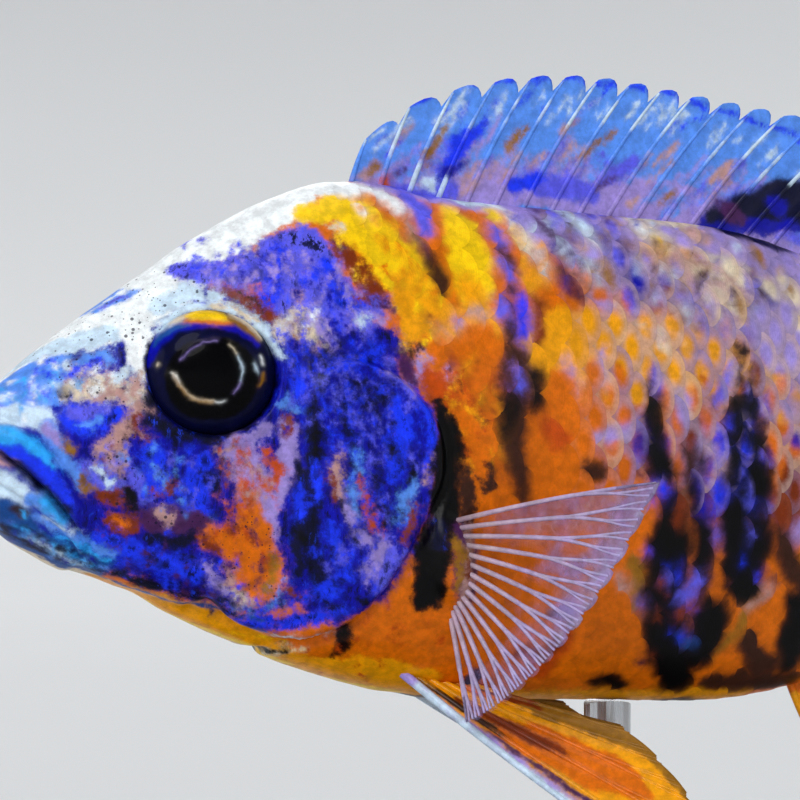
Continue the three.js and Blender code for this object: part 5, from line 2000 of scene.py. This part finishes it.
def make_stage():
    n = Nodes("pale_backdrop")
    tint = n.noise(n.object_place(), 3.0, 2.0, 0.5)
    n.dress(Base_Color=n.mixed(tint, linear("backdrop"), linear("pale_backdrop")), Roughness=0.85)
    rise = STAGE["radius"] - STAGE["flat"]
    profile = [(STAGE["flat"], 0.0)]
    for bend in np.linspace(0, math.pi / 2, STAGE["bends"] + 1)[1:]:
        profile.append((STAGE["flat"] + rise * math.sin(bend), rise * (1 - math.cos(bend))))
    profile.append((STAGE["radius"], STAGE["height"]))
    angles = np.linspace(0, 2 * math.pi, STAGE["steps"], endpoint=False)
    points = [(0.0, 0.0, 0.0)]
    for radius, height in profile:
        points += [(radius * math.cos(t), radius * math.sin(t), height) for t in angles]
    rings = 1 + np.arange(len(points) - 1).reshape(-1, STAGE["steps"])
    floor = plain_piece("floor", points, faces=closed_rings(rings, start=0))
    floor.data.shade_smooth()
    floor.data.materials.append(n.material)


# Soft lights: place, size, power and what each is aimed at.
FISH_MIDDLE = (0.0, 0.0, 0.06)
LIGHTS = {
    "key": ((-0.75, -1.05, 1.05), 0.9, 12.5, FISH_MIDDLE),
    "fill": ((0.95, -1.25, 0.55), 1.1, 2.4, FISH_MIDDLE),
    "front": ((-1.5, -0.25, 0.5), 0.8, 3.6, FISH_MIDDLE),
    "rim": ((0.3, 1.3, 1.1), 0.8, 6.0, FISH_MIDDLE),
    "top": ((0.1, 0.0, 1.7), 1.2, 5.0, FISH_MIDDLE),
    "wash": ((0.6, 1.2, 1.7), 1.0, 7.0, (0.8, 2.6, 0.5)),
}


SKY = {"colour": (0.9, 0.95, 1.0, 1), "strength": 0.24}


def make_lights():
    for name, (place, size, power, target) in LIGHTS.items():
        light = bpy.data.lights.new(name, "AREA")
        light.shape = "DISK"
        light.size = size
        light.energy = power
        lamp = set_out(name, light)
        lamp.location = place
        lamp.rotation_euler = (Vector(target) - Vector(place)).to_track_quat("-Z", "Y").to_euler()
    world = bpy.data.worlds.new("pale_room")
    world.use_nodes = True
    sky = world.node_tree.nodes["Background"].inputs
    sky["Color"].default_value = SKY["colour"]
    sky["Strength"].default_value = SKY["strength"]
    bpy.context.scene.world = world
    bpy.context.scene.view_settings.view_transform = "Standard"


NEAREST_SEEN = 0.01


def make_camera():
    data = bpy.data.cameras.new("photo_camera")
    data.sensor_width = CAMERA["sensor"]
    data.lens = CAMERA["sensor"] * FOCAL_PIXELS / PHOTO_PIXELS
    data.clip_start = NEAREST_SEEN
    camera = set_out("photo_camera", data)
    place = Vector((CAMERA_PLACE * MM).tolist())
    turn = Matrix((CAMERA_RIGHT.tolist(), CAMERA_UP.tolist(), CAMERA_BACK.tolist())).transposed()
    camera.matrix_world = Matrix.Translation(place) @ turn.to_4x4()
    bpy.context.scene.camera = camera


make_camera()
make_stage()
make_lights()


# How deep, in millimetres, each fin's edge dips behind its rays. How many of the rays are spines, how thick
# they are, how far they spread, and where they fork and how fast they thin, if not as the others.
NOTCHES = {
    "dorsal": [1.5] * DORSAL["spines"] + [0.5] * DORSAL["rays"],
    "anal": [2.0] * ANAL["spines"] + [0.5] * ANAL["rays"],
    "tail": [0.4] * TAIL["rays"],
    "pectoral": [0.5] * PECTORAL["rays"],
    "pelvic": [1.2] + [0.5] * (len(PELVIC["lengths"]) - 1),
}
RAY_FORMS = {
    "dorsal": (DORSAL["spines"], 0.22, 0.34),
    "anal": (ANAL["spines"], 0.3, 0.34),
    "tail": (0, 0.34, 0.4),
    "pectoral": (0, 0.25, 0.46, 0.6, 0.4),
    "pelvic": (1, 0.34, 0.3),
}


def make_fins():
    web = paint_material("fin_web", gloss=0.4, coat=0.16, lumps=0.00004)
    clear_web = paint_material("clear_web", gloss=0.4, coat=0.1, lumps=0.00004, clear=(0.0, 0.62))
    bone = paint_material("fin_rays", gloss=0.36, coat=0.25, lumps=0.00003)

    def make_fin(kind, side, fin, material, paint, ray_paint):
        node = kind + "_fin" + side
        make_web(kind + "_web" + side, fin, material, NOTCHES[kind], node, paint)
        make_rays(kind + "_rays" + side, fin, bone, node, ray_paint, *RAY_FORMS[kind])

    make_fin("dorsal", "", middle_fin(DORSAL), web, dorsal_paint, pale_rays(dorsal_paint))
    make_fin("anal", "", middle_fin(ANAL), web, anal_paint, anal_paint)
    make_fin("tail", "", tail_fin(), web, tail_paint, tail_paint)
    for side, label in ((-1, "_left"), (1, "_right")):
        make_fin("pectoral", label, pectoral_fin(side), clear_web, pectoral_web_paint, pectoral_ray_paint)
        make_fin("pelvic", label, pelvic_fin(side), web, pelvic_paint, pelvic_paint)


paint_stand()
skin = make_skin(paint_material("wet_skin", ink=True))
make_fins()
one_scale, scale_rows, scale_paint = scale_shape(), scale_tree(), scale_material()
make_scales(-1, "scales_left", skin, one_scale, scale_rows, scale_paint)
make_scales(1, "scales_right", skin, one_scale, scale_rows, scale_paint)
bpy.data.objects.remove(one_scale)
eye_gloss = paint_material("eye_gloss", gloss=0.3, coat=0.06, lumps=0.0, coat_roughness=0.04, specular=0.02)
make_eye(-1, "eyeball_left", "eye_left", eye_gloss)
make_eye(1, "eyeball_right", "eye_right", eye_gloss)
